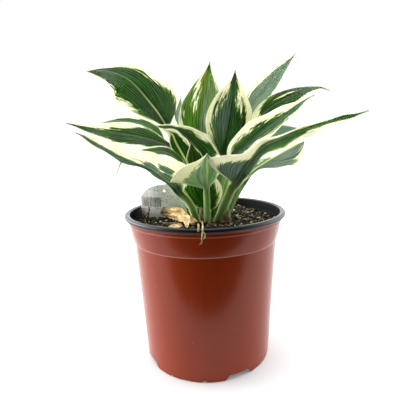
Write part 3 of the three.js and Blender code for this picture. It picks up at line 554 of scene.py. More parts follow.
LEAVES = {
    "leaf_left_high": dict(
        rib=[(-3, 15), (-9, 25, 181), (-39, 34, 241), (-59, 44, 270), (-80, 48, 293), (-101, 42, 302),
             (-121, 34, 301)],
        width=66, stalk=3.8, wave=(1.6, 3, 0), veins=8, shade=0.25,
        rib_light=(0.6, 0.6, 0.3, 0.1, 0),
        glow=2.1,
        deep=(0.55, 0.4, 0.3),
        face=[(0.1, -0.8, 0.55), (0.05, -0.75, 0.6), (-0.1, -0.5, 0.85)],
        left=side([0, 10, 17, 22, 25, 27, 28, 27.5, 25, 17, 0], fold=(15, 10, 5),
                  cream=(0.1, 0.1, 0.1, 0.12, 0.16, 0.14, 0.1, 0.02, 0, 0, 0), grey=(0, 0.1, 0.2)),
        right=side(1, 0.34, taper=1.45, fold=(20, 15, 10),
                   cream=(-0.2, -0.1, 0.05, 0.15, 0.3, 0.34, 0.27, 0.16, 0.05, -0.1, -0.1),
                   grey=(0, 0, 0.1, 0.3, 0.8))),
    "leaf_back_upright": dict(
        rib=[(3, 22), (0, 31, 177), (-2, 36, 215), (-2, 42, 246), (3, 50, 279), (10, 60, 313)],
        width=50, stalk=3.6, wave=(1.2, 2.5, 0.2), veins=6, shade=0.45,
        patches=[(LEFT, 0.54, 0.34, 0.11, 0.06, True), (LEFT, 0.66, 0.52, 0.11, 0.08, True),
                 (LEFT, 0.77, 0.75, 0.1, 0.11, True)],
        glow=2.7,
        deep=(0, -0.15, -0.35),
        face=[(-0.05, -1, 0.3), (0, -1, 0.35)],
        left=side(1, 0.32, fold=(25, 20, 10),
                  cream=(0.2, 0.25, 0.2, 0.15, 0.1, -0.1, -0.3, -0.2, 0.1, 0.2, 0.1), grey=(0, 0, 0, 0.1)),
        right=side(1, 0.38, fold=(25, 20, 10),
                   cream=(0.1, 0.1, 0.1, 0.1, 0.1, 0.1, 0.1, 0.1, 0.1, 0.1, 0), grey=(0.2, 0.7, 0.4, 0))),
    "leaf_centre_upright": dict(
        rib=[(6, 4), (13, 4, 177), (20, 7, 209), (26, 12, 236), (31, 20, 267), (36, 32, 298)],
        width=47, stalk=3.6, wave=(1.2, 2.5, 0.5), veins=6, shade=0.3,
        patches=[(RIGHT, 0.54, 0.62, 0.17, 0.11, False), (LEFT, 0.52, 0.72, 0.15, 0.06, False),
                 (LEFT, 0.58, 0.58, 0.1, 0.05, False)],
        deep=(0.3, 0.1, 0.1),
        rib_light=(0, 0),
        glow=2.1,
        face=[(0.05, -1, 0.25), (0, -1, 0.35)],
        left=side(1.05, 0.38, swell=0.62,
                  cream=(0.3, 0.25, 0.2, 0.22, 0.3, 0.42, 0.55, 0.62, 0.6, 0.4, 0.1),
                  grey=(0.1, 0.7, 0.9, 0.5, 0.2)),
        right=side(1, 0.42,
                   cream=(0.1, 0.1, 0.12, 0.15, 0.2, 0.55, 0.65, 0.62, 0.5, 0.28, 0.1),
                   grey=(0, 0.1, 0.2, 0.2))),
    "leaf_right_high": dict(
        rib=[(9, 16.5), (19, 25, 183), (39, 38, 231), (59, 50, 266), (84, 60, 293), (108, 68, 321)],
        width=38, stalk=3, veins=5, shade=0.6,
        deep=(0.4, 0.3),
        rib_light=(0, 0),
        patches=[(RIGHT, 0.45, 0.72, 0.16, 0.1, True)],
        face=[(-0.6, 0.6, 0.45), (-0.6, 0.6, 0.45)],
        left=side(1, 0.42, cream=(0, 0, 0, 0, 0), grey=(1, 1)),
        right=side(1.15, 0.42,
                   cream=(0.1, 0.15, 0.2, 0.2, 0.22, 0.22, 0.22, 0.2, 0.12, 0.05, 0), grey=(0.8, 1))),
    "leaf_right_arched": dict(
        rib=[(14, 9), (26, 17, 183), (55, 34, 239), (75, 40, 259), (102, 36, 273), (124, 30, 278),
             (135, 26, 275)],
        width=28, stalk=2.8, veins=4, shade=0.45,
        patches=[(LEFT, 0.53, 0.45, 0.1, 0.08, True)],
        deep=(0.1, 0.3, 0.1),
        glow=2.3,
        face=[(-0.2, -0.7, 0.6), (0, -0.6, 0.8)],
        left=side(1, 0.35,
                  cream=(1, 1, 0.6, 0.15, 0, -0.2, -0.3, -0.3, -0.3, -0.2, 0), grey=(0, 0, 0.1, 0.7, 0.8)),
        right=side(1, 0.4, cream=(1, 1, 0.5, 0.15, -0.1, -0.2, -0.2, 0, 0.15, 0.1, 0), grey=(0, 0, 0, 0.2))),
    "leaf_right_diagonal": dict(
        rib=[(11, -2.5), (15, -4, 176), (26, -10, 206), (48, -12, 226), (70, -10, 243), (96, -4, 260),
             (111, 0, 268)],
        width=42, stalk=3, wave=(1, 3, 0.1), veins=5, shade=0.35,
        patches=[(LEFT, 0.42, 0.46, 0.1, 0.06, False), (LEFT, 0.54, 0.3, 0.08, 0.05, False)],
        rib_light=(0, 0),
        deep=(0.3, 0.2, 0),
        face=[(-0.35, -0.65, 0.65), (-0.3, -0.55, 0.75)],
        left=side(0.95, 0.3, swell=0.6,
                  cream=(0.8, 0.4, 0.42, 0.5, 0.5, 0.65, 0.78, 0.9, 0.9, 0.7, 0.2), grey=(0, 0, 0.1)),
        right=side(0.6, 0.4,
                   cream=(0.1, 0.1, 0.2, 0.5, 0.25, 0.1, 0.1, 0.1, 0, 0, 0), grey=(0.2, 0.5, 0.5, 0.6))),
    "leaf_front_right_long": dict(
        rib=[(9.5, -16), (24, -32, 177), (29, -38, 186), (48, -50, 216), (70, -56, 228), (105, -52, 238),
             (146, -44, 249)],
        width=54, stalk=4.8, wave=(1.6, 3.5, 0.3), veins=7, shade=0.5,
        rib_light=(0.2, 0),
        channel=10,
        face=[(0.2, -0.95, -0.2), (0.3, -0.92, 0), (0.1, -0.85, 0.4), (0, -0.7, 0.7), (0, -0.6, 0.8),
              (0, -0.6, 0.8)],
        left=side([0, 26, 36, 25, 10, 6.5, 5, 3.5, 2.5, 2, 2, 2.5, 3.5, 4.5, 5, 4, 3, 2.5, 1.5, 0.8, 0],
                  fold=(10, 10, 10), bend=(-5, -15, -20),
                  cream=(0.06, 0.12, 0.3, 0.55, 0.9, 0.8, 0.6, 0.5, 0.6, 0.5, 0.4, 0.4, 0.3, 0.2, 0.1, 0, 0, 0,
                         0, 0, 0),
                  grey=(1, 1, 0.4, 0.1, 0.1, 0.1)),
        right=side([0, 5, 5, 6, 9, 7.5, 6.5, 5.5, 4, 2, 0], fold=(0, 5, 10), bend=(5, 0, -20),
                   cream=(0, 0, 0, 0.1, 0.1, 0.2, 0.7, 0.75, 0.5, 0.1, 0), grey=(0.9, 0.5, 0.1, 0.1))),
    "leaf_front_small": dict(
        rib=[(1.5, -15.5), (2, -21, 166), (2, -28, 181), (3, -43, 199), (3, -60, 216)],
        width=46, stalk=3, wave=(1.5, 2, 0.6), veins=5, shade=0.6,
        rib_light=(0.8, 0.5),
        deep=(-0.2, -0.2),
        face=[(-0.3, 0.8, 0.6), (-0.1, 0.6, 0.8)],
        left=side(0.55, 0.4, cream=(0, 0, 0, 0.12, 0.15, 0.18, 0.18, 0.12, 0, 0, 0), grey=(0.6, 0.6)),
        right=side(1.5, 0.3, cream=(0, 0.1, 0.25, 0.4, 0.5, 0.55, 0.6, 0.6, 0.6, 0.5, 0.3), grey=(0.5, 0.5))),
    "leaf_right_low": dict(
        rib=[(16, -9), (33, -20, 178), (43, -32, 195), (56, -42, 206), (72, -50, 216), (87, -54, 224)],
        width=40, stalk=3.4, wave=(1, 2.5, 0.4), veins=5, shade=0.36,
        rib_light=(0.5, 0.4),
        glow=3.2,
        face=[(0.1, -0.6, 0.7), (0.1, -0.6, 0.7)],
        left=side(0.7, 0.25, taper=1.3, fold=(5, 5, 5),
                  cream=(0.1, 0.3, 0.6, 0.6, 0.75, 1, 1, 1, 1, 1, 0.6), grey=(0.6, 0.6)),
        right=side(0.8, 0.75, swell=2, taper=0.7, fold=(-50, -50, -40),
                   cream=(0, 0, 0, 0, 0, 0, 0, 0.05, 0.3, 0.5, 0.5), grey=(1, 1))),
    "leaf_front_inner": dict(
        base=1,
        rib=[(4, -9.5), (4, -10, 157), (4, -12, 164), (2, -15, 180), (-1, -14, 202)],
        width=36, stalk=2.2, veins=5, shade=0.1,
        deep=(0.6, 0.4, 0.3),
        glow=2.2,
        face=[(0, -1, 0.3), (0, -1, 0.3)],
        left=side(1.45, 0.5, swell=0.7, fold=(15, 0, 0), bend=(0, 0, 0),
                  cream=(0.1, 0.1, 0.12, 0.12, 0.1), grey=(0, 0)),
        right=side(0.85, 0.45, swell=0.6, cream=(0.05, 0.2, 0.35, 0.35, 0.1), grey=(0, 0))),
    "leaf_front_left_long": dict(
        rib=[(-6, -15), (-14, -20, 163), (-23, -26, 176), (-34, -37, 190), (-49, -49, 204), (-68, -54, 213),
             (-88, -56, 225), (-109, -52, 236)],
        width=42, stalk=3.8, wave=(1.4, 3.5, 0.7), veins=5, shade=0.6,
        patches=[(RIGHT, 0.24, 0.4, 0.08, 0.18, False), (RIGHT, 0.36, 0.15, 0.1, 0.15, False)],
        face=[(0, -0.85, 0.5), (0, -0.6, 0.8), (0, -0.5, 0.85), (0, -0.4, 0.9)],
        left=side(0.2, 0.7, swell=1.6, fold=(-40, -40, -20), cream=(0, 0, 0), grey=(0.8, 0.9, 1)),
        right=side([0, 24, 24, 20, 18, 16, 13.5, 10.5, 7, 4, 0], fold=(20, 30, 20),
                   cream=(0.2, 0.7, 0.6, 0.8, 0.95, 0.95, 0.95, 0.95, 0.95, 0.7, 0.2),
                   grey=(0.5, 0.9, 0.9, 1))),
    "leaf_left_level": dict(
        base=3,
        rib=[(-4.5, 4.5), (-6, 6, 179), (-16, 10, 206), (-31, 5, 219), (-58, -7, 230), (-88, -12, 236),
             (-132, -10, 246)],
        width=28, stalk=2.4, wave=(1, 3, 0.2), veins=4, shade=0.25,
        patches=[(RIGHT, 0.56, 0.4, 0.07, 0.1, False)],
        deep=(0.6, 0.5, 0.4),
        glow=2.3,
        face=[(0, -0.7, 0.65), (0, -0.7, 0.65)],
        left=side(0.85, 0.4,
                  cream=(0.1, 0.1, 0, -0.1, -0.1, 0, 0, -0.1, -0.2, -0.2, -0.2), grey=(0, 0.1, 0.2, 0.1)),
        right=side(1, 0.4,
                   cream=(0, 0, 0, 0.05, 0.2, 0.5, 0.7, 0.82, 0.82, 0.8, 0.3), grey=(0, 0, 0.2, 0.1))),
    "leaf_left_drooping": dict(
        rib=[(-7, -7), (-7, -6, 173), (-19, -9, 200), (-34, -18, 215), (-55, -23, 216), (-75, -25, 211),
             (-84, -28, 196)],
        width=20, stalk=2, veins=3, shade=0.4,
        deep=(0.3, 0.2, 0),
        face=[(0, -0.5, 0.85), (0, -0.5, 0.85), (-0.6, -0.5, 0.6)],
        left=side(0.85, 0.4, cream=(0, 0.2, 0.35, 0.3, 0), grey=(0, 0.1, 0.8)),
        right=side(1, 0.3, swell=0.7, cream=(0, 0.1, 0.2, 0.1, 0), grey=(0.1, 0.3, 0.9))),
    "leaf_back_left_slim": dict(
        rib=[(-8, 21.5), (-13, 33, 182), (-22, 48, 229), (-27, 54, 251), (-24, 60, 276)],
        width=30, stalk=2, veins=3, shade=0.6,
        face=[(0.8, -0.3, 0.3), (0.8, -0.3, 0.3)],
        left=side(1, 0.4, cream=(0, 0.1, 0.1, 0.3, 0), grey=(1, 1)),
        right=side(1, 0.4, cream=(0, 0.2, 0.2, 0), grey=(1, 1))),
    "leaf_right_under": dict(
        rib=[(16.5, 3), (23, 3, 180), (40, 8, 217), (61, 12, 229), (82, 14, 234), (103, 14, 236)],
        width=26, stalk=2.4, veins=3, shade=0.6,
        face=[(0, -0.6, 0.8), (0, -0.6, 0.8)],
        left=side(1.4, 0.4, cream=(0, 0.1, 0.1, 0), grey=(1, 1)),
        right=side(1, 0.4, cream=(0, 0.2, 0.2, 0), grey=(1, 1))),
    "leaf_left_arched": dict(
        rib=[(-11, 8.5), (-11, 14, 182), (-42, 15, 227), (-59, 15, 242), (-82, 12, 248), (-109, 8, 245)],
        width=26, stalk=2.3, veins=4, shade=0.7,
        face=[(0, -0.4, 0.9), (0, -0.4, 0.9)],
        left=side(1, 0.4, cream=(0.1, 0.3, 0.6, 0.7, 0.6, 0.5, 0.3, 0.1, 0.1, 0), grey=(0.3, 0.9, 1)),
        right=side(1, 0.4, cream=(0.1, 0.1, 0.2, 0.4, 0.4, 0.3, 0.1), grey=(0, 0.3, 1))),
    "leaf_centre_left": dict(
        rib=[(3.5, 11.5), (7, 15, 173), (3, 16, 201), (-12, 19, 224), (-30, 23, 238), (-57, 28, 243)],
        width=44, stalk=3, wave=(1, 3, 0.5), veins=5, shade=0.25,
        deep=(0.5, 0.45, 0.2),
        face=[(-0.2, -0.8, 0.6), (-0.1, -0.8, 0.6)],
        left=side(0.25, 0.4, cream=(0, 0.05, 0.1, 0), grey=(0, 0)),
        right=side([0, 32, 27, 19, 14.5, 11.5, 8.5, 5.5, 3, 1.5, 0],
                   cream=(0.1, 0.3, 0.45, 0.45, 0.35, 0.3, 0.3, 0.35, 0.4, 0.3, 0.1), grey=(0, 0.2, 0.2, 0))),
    "leaf_inner_left": dict(
        rib=[(-7.5, -1), (-7, -1, 176), (-16, -2, 202), (-27, -3, 224), (-31, -2, 233), (-41, 0, 239)],
        width=24, stalk=1.9, veins=3, shade=0.4,
        rib_light=(0.9, 0.7),
        face=[(0.1, -0.95, 0.3), (0.1, -0.95, 0.3)],
        left=side(0.6, 0.4, cream=(0.1, 0.1, 0.1, 0.1, 0.1, 0.1, 0.1, 0.2, 0.7, 1, 1), grey=(0, 0)),
        right=side(1, 0.4, cream=(0, 0.1, 0.1, 0.1, 0.2, 0.3, 0.3, 0.4, 0.6, 1, 1), grey=(0, 0))),
    "leaf_inner_folded": dict(
        rib=[(-0.5, -5), (-1, -8, 175), (-9, -12, 195), (-11, -13, 211), (-12, -12, 225)],
        width=22, stalk=1.8, veins=3, shade=0.1,
        deep=(0.5, 0.4),
        glow=2.2,
        face=[(0.3, -0.95, 0.1), (0.3, -0.95, 0.1)],
        left=side(0.6, 0.4, cream=(0, 0.1, 0.1, 0.2, 0.2), grey=(0, 0)),
        right=side(1, 0.4, cream=(0, 0, 0.1, 0), grey=(0, 0))),
}


def side_reach(leaf, half, share):
    """How far one side of a leaf reaches from its midrib, in millimetres."""
    if isinstance(half["reach"], list):
        blade = np.maximum(curve_list(half["reach"], share), 0)
    else:
        before = np.clip(share / half["widest"], 0, 1)
        after = np.clip((share - half["widest"]) / (1 - half["widest"]), 0, 1)
        outline = np.where(share < half["widest"], np.sin(np.pi / 2 * before) ** half["swell"],
                           np.abs(np.cos(np.pi / 2 * after)) ** half["taper"])
        blade = 0.5 * leaf["width"] * half["reach"] * outline
    return np.maximum(np.hypot(leaf["stalk"] * (1 - share), blade), LEAST_REACH)


def with_patches(margin, leaf, sign, share, q, reach):
    """The cream margin of one side, with the leaf's own patches of cream or green laid over it."""
    for patch_side, patch_share, patch_q, long, wide, is_cream in leaf.get("patches", ()):
        if patch_side == sign:
            inside = (1 - np.hypot((share - patch_share) / long, (q - patch_q) / wide)) * wide * reach
            inside = np.clip(inside * PATCH_EDGE, -PATCH_MOST, PATCH_MOST)
            margin = np.maximum(margin, inside) if is_cream else np.minimum(margin, -inside)
    return margin


def leaf_rule(leaf, rows, columns):
    """The upper surface of a leaf as a grid of points, its thickness there and what its material reads."""
    path = smooth_path([(*point, ROOT_LEVEL)[:3] for point in leaf["rib"]])
    lengths = path_lengths(path)
    start = lengths[PATH_STEPS * leaf.get("base", 2)]
    total = lengths[-1]
    stalk_rows = int(rows * STALK_ROWS)
    distance = np.concatenate([np.linspace(0, start, stalk_rows, endpoint=False),
                               np.linspace(start, total, rows + 1 - stalk_rows)])
    share = np.clip((distance - start) / (total - start), 0, 1)
    rib, normal, across = sweep(path, lengths, distance, leaf["face"], share)
    blend = smooth(np.clip((distance - start + BLADE_START_BEFORE) / BLADE_START_LENGTH, 0, 1))
    height, count, phase = leaf.get("wave", (0, 0, 0))
    fan = 0.3 + 0.7 * share ** 0.7
    rib_width = RIB_REACH * (1 - 0.5 * share)
    rise = (leaf["stalk"] * 1.15 * (1 - 0.45 * share) - 0.2) * (1 - 0.55 * share) * (1 - RIB_FADE * blend)
    half_columns = columns // 2
    points = np.zeros((rows + 1, columns + 1, 3))
    thickness = np.zeros((rows + 1, columns + 1))
    marks = {name: np.zeros((rows + 1, columns + 1)) for name in LEAF_MARKS}
    for sign, half in ((LEFT, leaf["left"]), (RIGHT, leaf["right"])):
        reach = side_reach(leaf, half, share)
        channel = leaf.get("channel", CHANNEL_ANGLE)
        fold = np.radians(channel * (1 - blend) + along_list(half["fold"], share) * blend)
        bend = np.radians(STALK_BEND * (1 - blend) + along_list(half["bend"], share) * blend)
        cream = straight_list(half["cream"], share)
        round_off = np.minimum(0.5, FOLD_ROUNDING / reach)
        out = np.zeros(rows + 1)
        up = np.zeros(rows + 1)
        last = 0.0
        for column in range(half_columns + 1):
            q = column / half_columns
            middle = 0.5 * (q + last)
            angle = fold * smooth(np.clip(middle / round_off, 0, 1)) + bend * middle
            out = out + reach * (q - last) * np.cos(angle)
            up = up + reach * (q - last) * np.sin(angle)
            last = q
            shift = WAVE_SHIFT if sign > 0 else 0
            wave_up = height * q * q * np.sin(2 * np.pi * (count * share + phase + shift))
            wave_up = wave_up * np.maximum(np.sin(np.pi * share), 0) ** 0.7
            vein = leaf["veins"] * q / fan
            groove = (0.5 + 0.5 * np.cos(2 * np.pi * vein)) ** 2 * smooth(np.clip(share * 4 - 0.6, 0, 1))
            groove = groove * np.clip(reach / 12, 0, 1) * (0 if q == 0 else 1) * (1 - q ** 6)
            level = up + wave_up - GROOVE_DEPTH * groove
            index = half_columns + sign * column
            points[:, index] = rib + across * (sign * out)[:, None] + normal * level[:, None]
            ridge = np.maximum(rise, 0) * np.exp(-((reach * q / rib_width) ** 2))
            thickness[:, index] = BLADE_THICKNESS + ridge
            values = {
                "cream": with_patches((q - 1 + cream) * reach, leaf, sign, share, q, reach),
                "vein": vein * sign,
                "along": distance - start,
                "across": sign * q * reach,
                "shade": leaf["shade"],
                "grey": straight_list(half["grey"], share),
                "rib": straight_list(leaf.get("rib_light", RIB_LIGHT), share),
                "reach": np.minimum(reach, REACH_MARK_MOST),
                "deep": straight_list(leaf.get("deep", (0, 0)), share),
            }
            for mark, value in values.items():
                marks[mark][:, index] = value
    return points, thickness, marks


def make_leaf(name, leaf, upper, under):
    rows, columns = LARGE_GRID if leaf["width"] >= LARGE_LEAF else SMALL_GRID
    points, thickness, marks = leaf_rule(leaf, rows, columns)
    piece = add_grid(columns, rows)
    mesh = piece.data
    flat = np.zeros(len(mesh.vertices) * 3)
    mesh.vertices.foreach_get("co", flat)
    flat = flat.reshape(-1, 3)
    column = np.rint((flat[:, 0] + 1) / 2 * columns).astype(int)
    row = np.rint((flat[:, 1] + 1) / 2 * rows).astype(int)
    mesh.vertices.foreach_set("co", (points[row, column] * MM).ravel())
    for mark, values in marks.items():
        store(mesh, mark, values[row, column])
    thick = thickness[row, column]
    group = piece.vertex_groups.new(name="thickness")
    most = thick.max()
    for index, value in enumerate(thick):
        group.add([index], float(value / most), "REPLACE")
    mesh.materials.append(upper)
    mesh.materials.append(under)
    mesh.update()
    apply_modifier(piece, "SOLIDIFY", thickness=most * MM, offset=-1, vertex_group=group.name,
                   material_offset=1, material_offset_rim=0)
    hand_over(piece, name + "_blade", "leaf_tissue", name, angle=50)


# Pot

def wall_radius(height):
    return FOOT_RADIUS + (WALL_RADIUS_UNDER_COLLAR - FOOT_RADIUS) * height / COLLAR_BOTTOM


def spin_profile(profile, steps):
    """Turns an outline of (radius, height) pairs round the upright axis, drawn by extruding one point."""
    clear_selection()
    bpy.ops.mesh.primitive_plane_add(size=1)
    piece = active()
    bpy.ops.object.mode_set(mode="EDIT")
    bpy.ops.mesh.select_all(action="SELECT")
    bpy.ops.mesh.merge(type="CENTER")
    last = Vector((0, 0, 0))
    for index, (radius, height) in enumerate(profile):
        place = Vector((radius * MM, 0, height * MM))
        if index == 0:
            bpy.ops.transform.translate(value=place - last)
        else:
            bpy.ops.mesh.extrude_region_move(TRANSFORM_OT_translate={"value": place - last})
        last = place
    bpy.ops.mesh.select_all(action="SELECT")
    bpy.ops.mesh.spin(steps=steps, angle=2 * math.pi, center=(0, 0, 0), axis=(0, 0, 1))
    bpy.ops.mesh.select_all(action="SELECT")
    bpy.ops.mesh.remove_doubles(threshold=0.000005)
    bpy.ops.mesh.normals_make_consistent(inside=False)
    bpy.ops.object.mode_set(mode="OBJECT")
    return piece


def cutter(profile_points, depth, angle, radius):
    """A prism through the foot wall, its outline seen from outside as (sideways, height) pairs."""
    mesh = bpy.data.meshes.new("cutter")
    shape = bmesh.new()
    near = [shape.verts.new(((radius - depth / 2) * MM, s * MM, h * MM)) for s, h in profile_points]
    far = [shape.verts.new(((radius + depth / 2) * MM, s * MM, h * MM)) for s, h in profile_points]
    shape.faces.new(near)
    shape.faces.new(reversed(far))
    for i in range(len(near)):
        j = (i + 1) % len(near)
        shape.faces.new((near[j], near[i], far[i], far[j]))
    bmesh.ops.recalc_face_normals(shape, faces=shape.faces)
    shape.to_mesh(mesh)
    shape.free()
    piece = bpy.data.objects.new("cutter", mesh)
    bpy.context.collection.objects.link(piece)
    piece.rotation_euler.z = math.radians(angle)
    settle(piece)
    return piece


def drill(x, y, z, radius, depth):
    clear_selection()
    bpy.ops.mesh.primitive_cylinder_add(vertices=DRILL_SIDES, radius=radius * MM, depth=depth * MM,
                                        location=(x * MM, y * MM, z * MM))
    settle(active())
    return active()


def cut(piece, tools):
    """Cuts the tools out of the piece and clears them away."""
    pick(tools[0])
    for tool in tools:
        tool.select_set(True)
    bpy.ops.object.join()
    joined = active()
    apply_modifier(piece, "BOOLEAN", operation="DIFFERENCE", solver="EXACT", object=joined, use_self=True)
    bpy.data.objects.remove(joined)


def make_pot(*materials):
    floor_top = FLOOR_UNDERSIDE + WALL
    slope_foot = HUB_RADIUS + HUB_SLOPE
    profile = [
        (0, 0), (HUB_RADIUS, 0), (slope_foot, FLOOR_UNDERSIDE),
        (wall_radius(FLOOR_UNDERSIDE) - WALL, FLOOR_UNDERSIDE),
        (FOOT_RADIUS - WALL, 0), (FOOT_RADIUS - 0.5, 0), (FOOT_RADIUS, 0.6),
        (wall_radius(40), 40), (wall_radius(80), 80), (wall_radius(110), 110),
        (WALL_RADIUS_UNDER_COLLAR - 0.02, COLLAR_BOTTOM - 0.7),
        (WALL_RADIUS_UNDER_COLLAR, COLLAR_BOTTOM), (COLLAR_RADIUS - 0.1, COLLAR_BOTTOM + 0.5),
        (COLLAR_RADIUS + 0.1, COLLAR_BOTTOM + 1.1), (76.2, 136), (RIDGE_RADIUS - 0.9, RIDGE_HEIGHT - 0.9),
        (RIDGE_RADIUS - 0.2, RIDGE_HEIGHT - 0.4), (RIDGE_RADIUS, RIDGE_HEIGHT),
        (RIDGE_RADIUS - 0.1, RIDGE_HEIGHT + 0.5), (RIDGE_RADIUS + 0.3, LIP_BOTTOM - 1.2),
        (RIDGE_RADIUS + 0.8, LIP_BOTTOM - 0.1),
        (RIDGE_RADIUS + 0.9, LIP_BOTTOM), (LIP_RADIUS - 1.3, LIP_BOTTOM),
        (LIP_RADIUS - 0.7, LIP_BOTTOM + 0.4), (LIP_RADIUS - 0.15, LIP_HEIGHT - 1.0),
        (LIP_RADIUS, LIP_HEIGHT), (LIP_RADIUS - 0.15, LIP_HEIGHT + 0.8),
        (LIP_RADIUS - 0.7, LIP_HEIGHT + 1.5), (LIP_RADIUS - 1.8, POT_HEIGHT), (LIP_RADIUS - 3.0, POT_HEIGHT),
        (LIP_INNER_RADIUS + 1.2, POT_HEIGHT - 0.3), (LIP_INNER_RADIUS + 0.3, POT_HEIGHT - 0.9),
        (LIP_INNER_RADIUS, POT_HEIGHT - 1.8), (LIP_INNER_RADIUS - 0.1, LEDGE_HEIGHT + 0.5),
        (LIP_INNER_RADIUS - 0.4, LEDGE_HEIGHT + 0.1),
        (LIP_INNER_RADIUS - LEDGE_WIDTH + 0.3, LEDGE_HEIGHT),
        (LIP_INNER_RADIUS - LEDGE_WIDTH, LEDGE_HEIGHT - 0.4),
        (WALL_RADIUS_UNDER_COLLAR - WALL, COLLAR_BOTTOM - 1), (wall_radius(floor_top) - WALL, floor_top),
        (slope_foot, floor_top), (HUB_RADIUS, WALL), (0, WALL),
    ]
    pot = spin_profile(profile, POT_STEPS)
    for material in materials:
        pot.data.materials.append(material)
    tools = []
    for quarter in range(4):
        angle = FIRST_ARCH_ANGLE + 90 * quarter
        for outline, turn in ((ARCH, 0), (NOTCH, -NOTCH_TURN), (NOTCH, NOTCH_TURN),
                              (SHALLOW_NOTCH, -SHALLOW_NOTCH_TURN)):
            tools.append(cutter(outline, FOOT_CUT_DEPTH, angle + turn, FOOT_RADIUS))
    for hole in range(DRAIN_HOLES):
        turn = math.radians(360 / DRAIN_HOLES * (hole + 0.5))
        tools.append(drill(DRAIN_CIRCLE * math.cos(turn), DRAIN_CIRCLE * math.sin(turn),
                           FLOOR_UNDERSIDE + WALL / 2, DRAIN_HOLE_RADIUS, DRILL_DEPTH))
    cut(pot, tools)
    for polygon in pot.data.polygons:
        x, y, z = polygon.center / MM
        radius = math.hypot(x, y)
        outer = wall_radius(z) if z < COLLAR_BOTTOM + 0.3 else COLLAR_RADIUS + (z - COLLAR_BOTTOM) * 0.22
        inside = radius < outer - 0.9 and z > 0.5 or polygon.normal.z > 0.5 and z < 20
        below_lip = inside and z < POT_HEIGHT - 1.2
        polygon.material_index = 2 if below_lip else 1 if z > LIP_BOTTOM - 0.05 or inside else 0
    hand_over(pot, "pot_shell", "pot_plastic", "pot", angle=35)


# Soil

def bumpy(x, y, seed):
    """A steady uneven height from a few crossed waves, about -1 to 1."""
    pick_number = random.Random(seed)
    total = np.zeros_like(x)
    for k in range(14):
        turn = pick_number.uniform(0, math.pi)
        size = 2 * math.pi / (3.2 * 1.28 ** k)
        waves = np.sin((x * math.cos(turn) + y * math.sin(turn)) * size * 0.6 + pick_number.uniform(0, 6.3))
        total = total + waves * (0.25 + 0.05 * k)
    return total / 2.6


def soil_height(x, y):
    """The level of the soil surface, in millimetres."""
    radius = np.hypot(x, y)
    level = SOIL_LEVEL + 0.75 * bumpy(x, y, 5) + 0.5 * bumpy(x * 2.3, y * 2.3, 9)
    return np.minimum(level, SOIL_LEVEL + 1.6) - 1.2 * smooth(np.clip((radius - 69) / 6, 0, 1))


def make_soil(finish):
    floor_top = FLOOR_UNDERSIDE + WALL + GAP
    rim = LIP_INNER_RADIUS - LEDGE_WIDTH - 0.8
    profile = [(0, WALL + GAP), (HUB_RADIUS, WALL + GAP), (HUB_RADIUS + HUB_SLOPE, floor_top),
               (wall_radius(floor_top) - WALL - GAP, floor_top),
               (WALL_RADIUS_UNDER_COLLAR - WALL - 0.4, COLLAR_BOTTOM - 1), (rim, SOIL_LEVEL - 1.6)]
    for ring in range(60, -1, -1):
        profile.append((rim * (ring / 60) ** 0.9, SOIL_LEVEL))
    soil = spin_profile(profile, 180)
    for vertex in soil.data.vertices:
        if vertex.co.z > (SOIL_LEVEL - 0.5) * MM:
            x, y = vertex.co.x / MM, vertex.co.y / MM
            vertex.co.z = float(soil_height(np.array(x), np.array(y))) * MM
    soil.data.materials.append(finish)
    hand_over(soil, "soil_body", "soil_mix", "soil")


def free_of_stalks(x, y, margin):
    return all(math.hypot(x - leaf["rib"][0][0], y - leaf["rib"][0][1]) >= leaf["stalk"] + margin
               for leaf in LEAVES.values())


def scatter(name, slot, finish, count, seed, size, flatness, make, sink=0.25, reach=73.0):
    """Copies of one small shape laid over the soil, each with its own mesh, then joined into one piece."""
    numbers = random.Random(seed)
    make()
    pattern = active()
    copies = []
    while len(copies) < count:
        turn = numbers.uniform(0, 2 * math.pi)
        radius = reach * math.sqrt(numbers.random())
        x, y = radius * math.cos(turn), radius * math.sin(turn)
        if not free_of_stalks(x, y, 1.5):
            continue
        scale = numbers.uniform(*size)
        ground = float(soil_height(np.array(x), np.array(y)))
        if math.hypot(x - CROWN_CENTRE[0], y - CROWN_CENTRE[1]) < CROWN_RADIUS:
            ground += 1.5
        copy = pattern.copy()
        copy.data = pattern.data.copy()
        bpy.context.collection.objects.link(copy)
        copy.matrix_world = (
            Matrix.Translation((x * MM, y * MM, (ground + scale * flatness * (0.5 - sink)) * MM))
            @ Matrix.Rotation(numbers.uniform(0, 2 * math.pi), 4, "Z")
            @ Matrix.Rotation(numbers.uniform(-0.5, 0.5), 4, "X")
            @ Matrix.Diagonal((scale * MM, scale * MM * numbers.uniform(0.5, 1), scale * flatness * MM, 1)))
        copies.append(copy)
    bpy.data.objects.remove(pattern)
    clear_selection()
    for copy in copies:
        copy.select_set(True)
    bpy.context.view_layer.objects.active = copies[0]
    bpy.ops.object.join()
    piece = active()
    piece.data.materials.clear()
    piece.data.materials.append(finish)
    hand_over(piece, name, slot, angle=30)


def lump(seed, roughness, subdivisions=1):
    clear_selection()
    bpy.ops.mesh.primitive_ico_sphere_add(subdivisions=subdivisions, radius=0.5)
    bpy.ops.object.mode_set(mode="EDIT")
    bpy.ops.transform.vertex_random(offset=roughness, seed=seed)
    bpy.ops.object.mode_set(mode="OBJECT")


def sliver():
    clear_selection()
    bpy.ops.mesh.primitive_cylinder_add(vertices=5, radius=0.05, depth=1.0, rotation=(0, math.pi / 2, 0))
    settle(active())
    bpy.ops.object.mode_set(mode="EDIT")
    bpy.ops.mesh.select_all(action="SELECT")
    bpy.ops.mesh.subdivide(number_cuts=2)
    bpy.ops.transform.vertex_random(offset=0.03, seed=3)
    bpy.ops.object.mode_set(mode="OBJECT")


# Crown, sheaths, label, dry leaf, rootlets and twigs

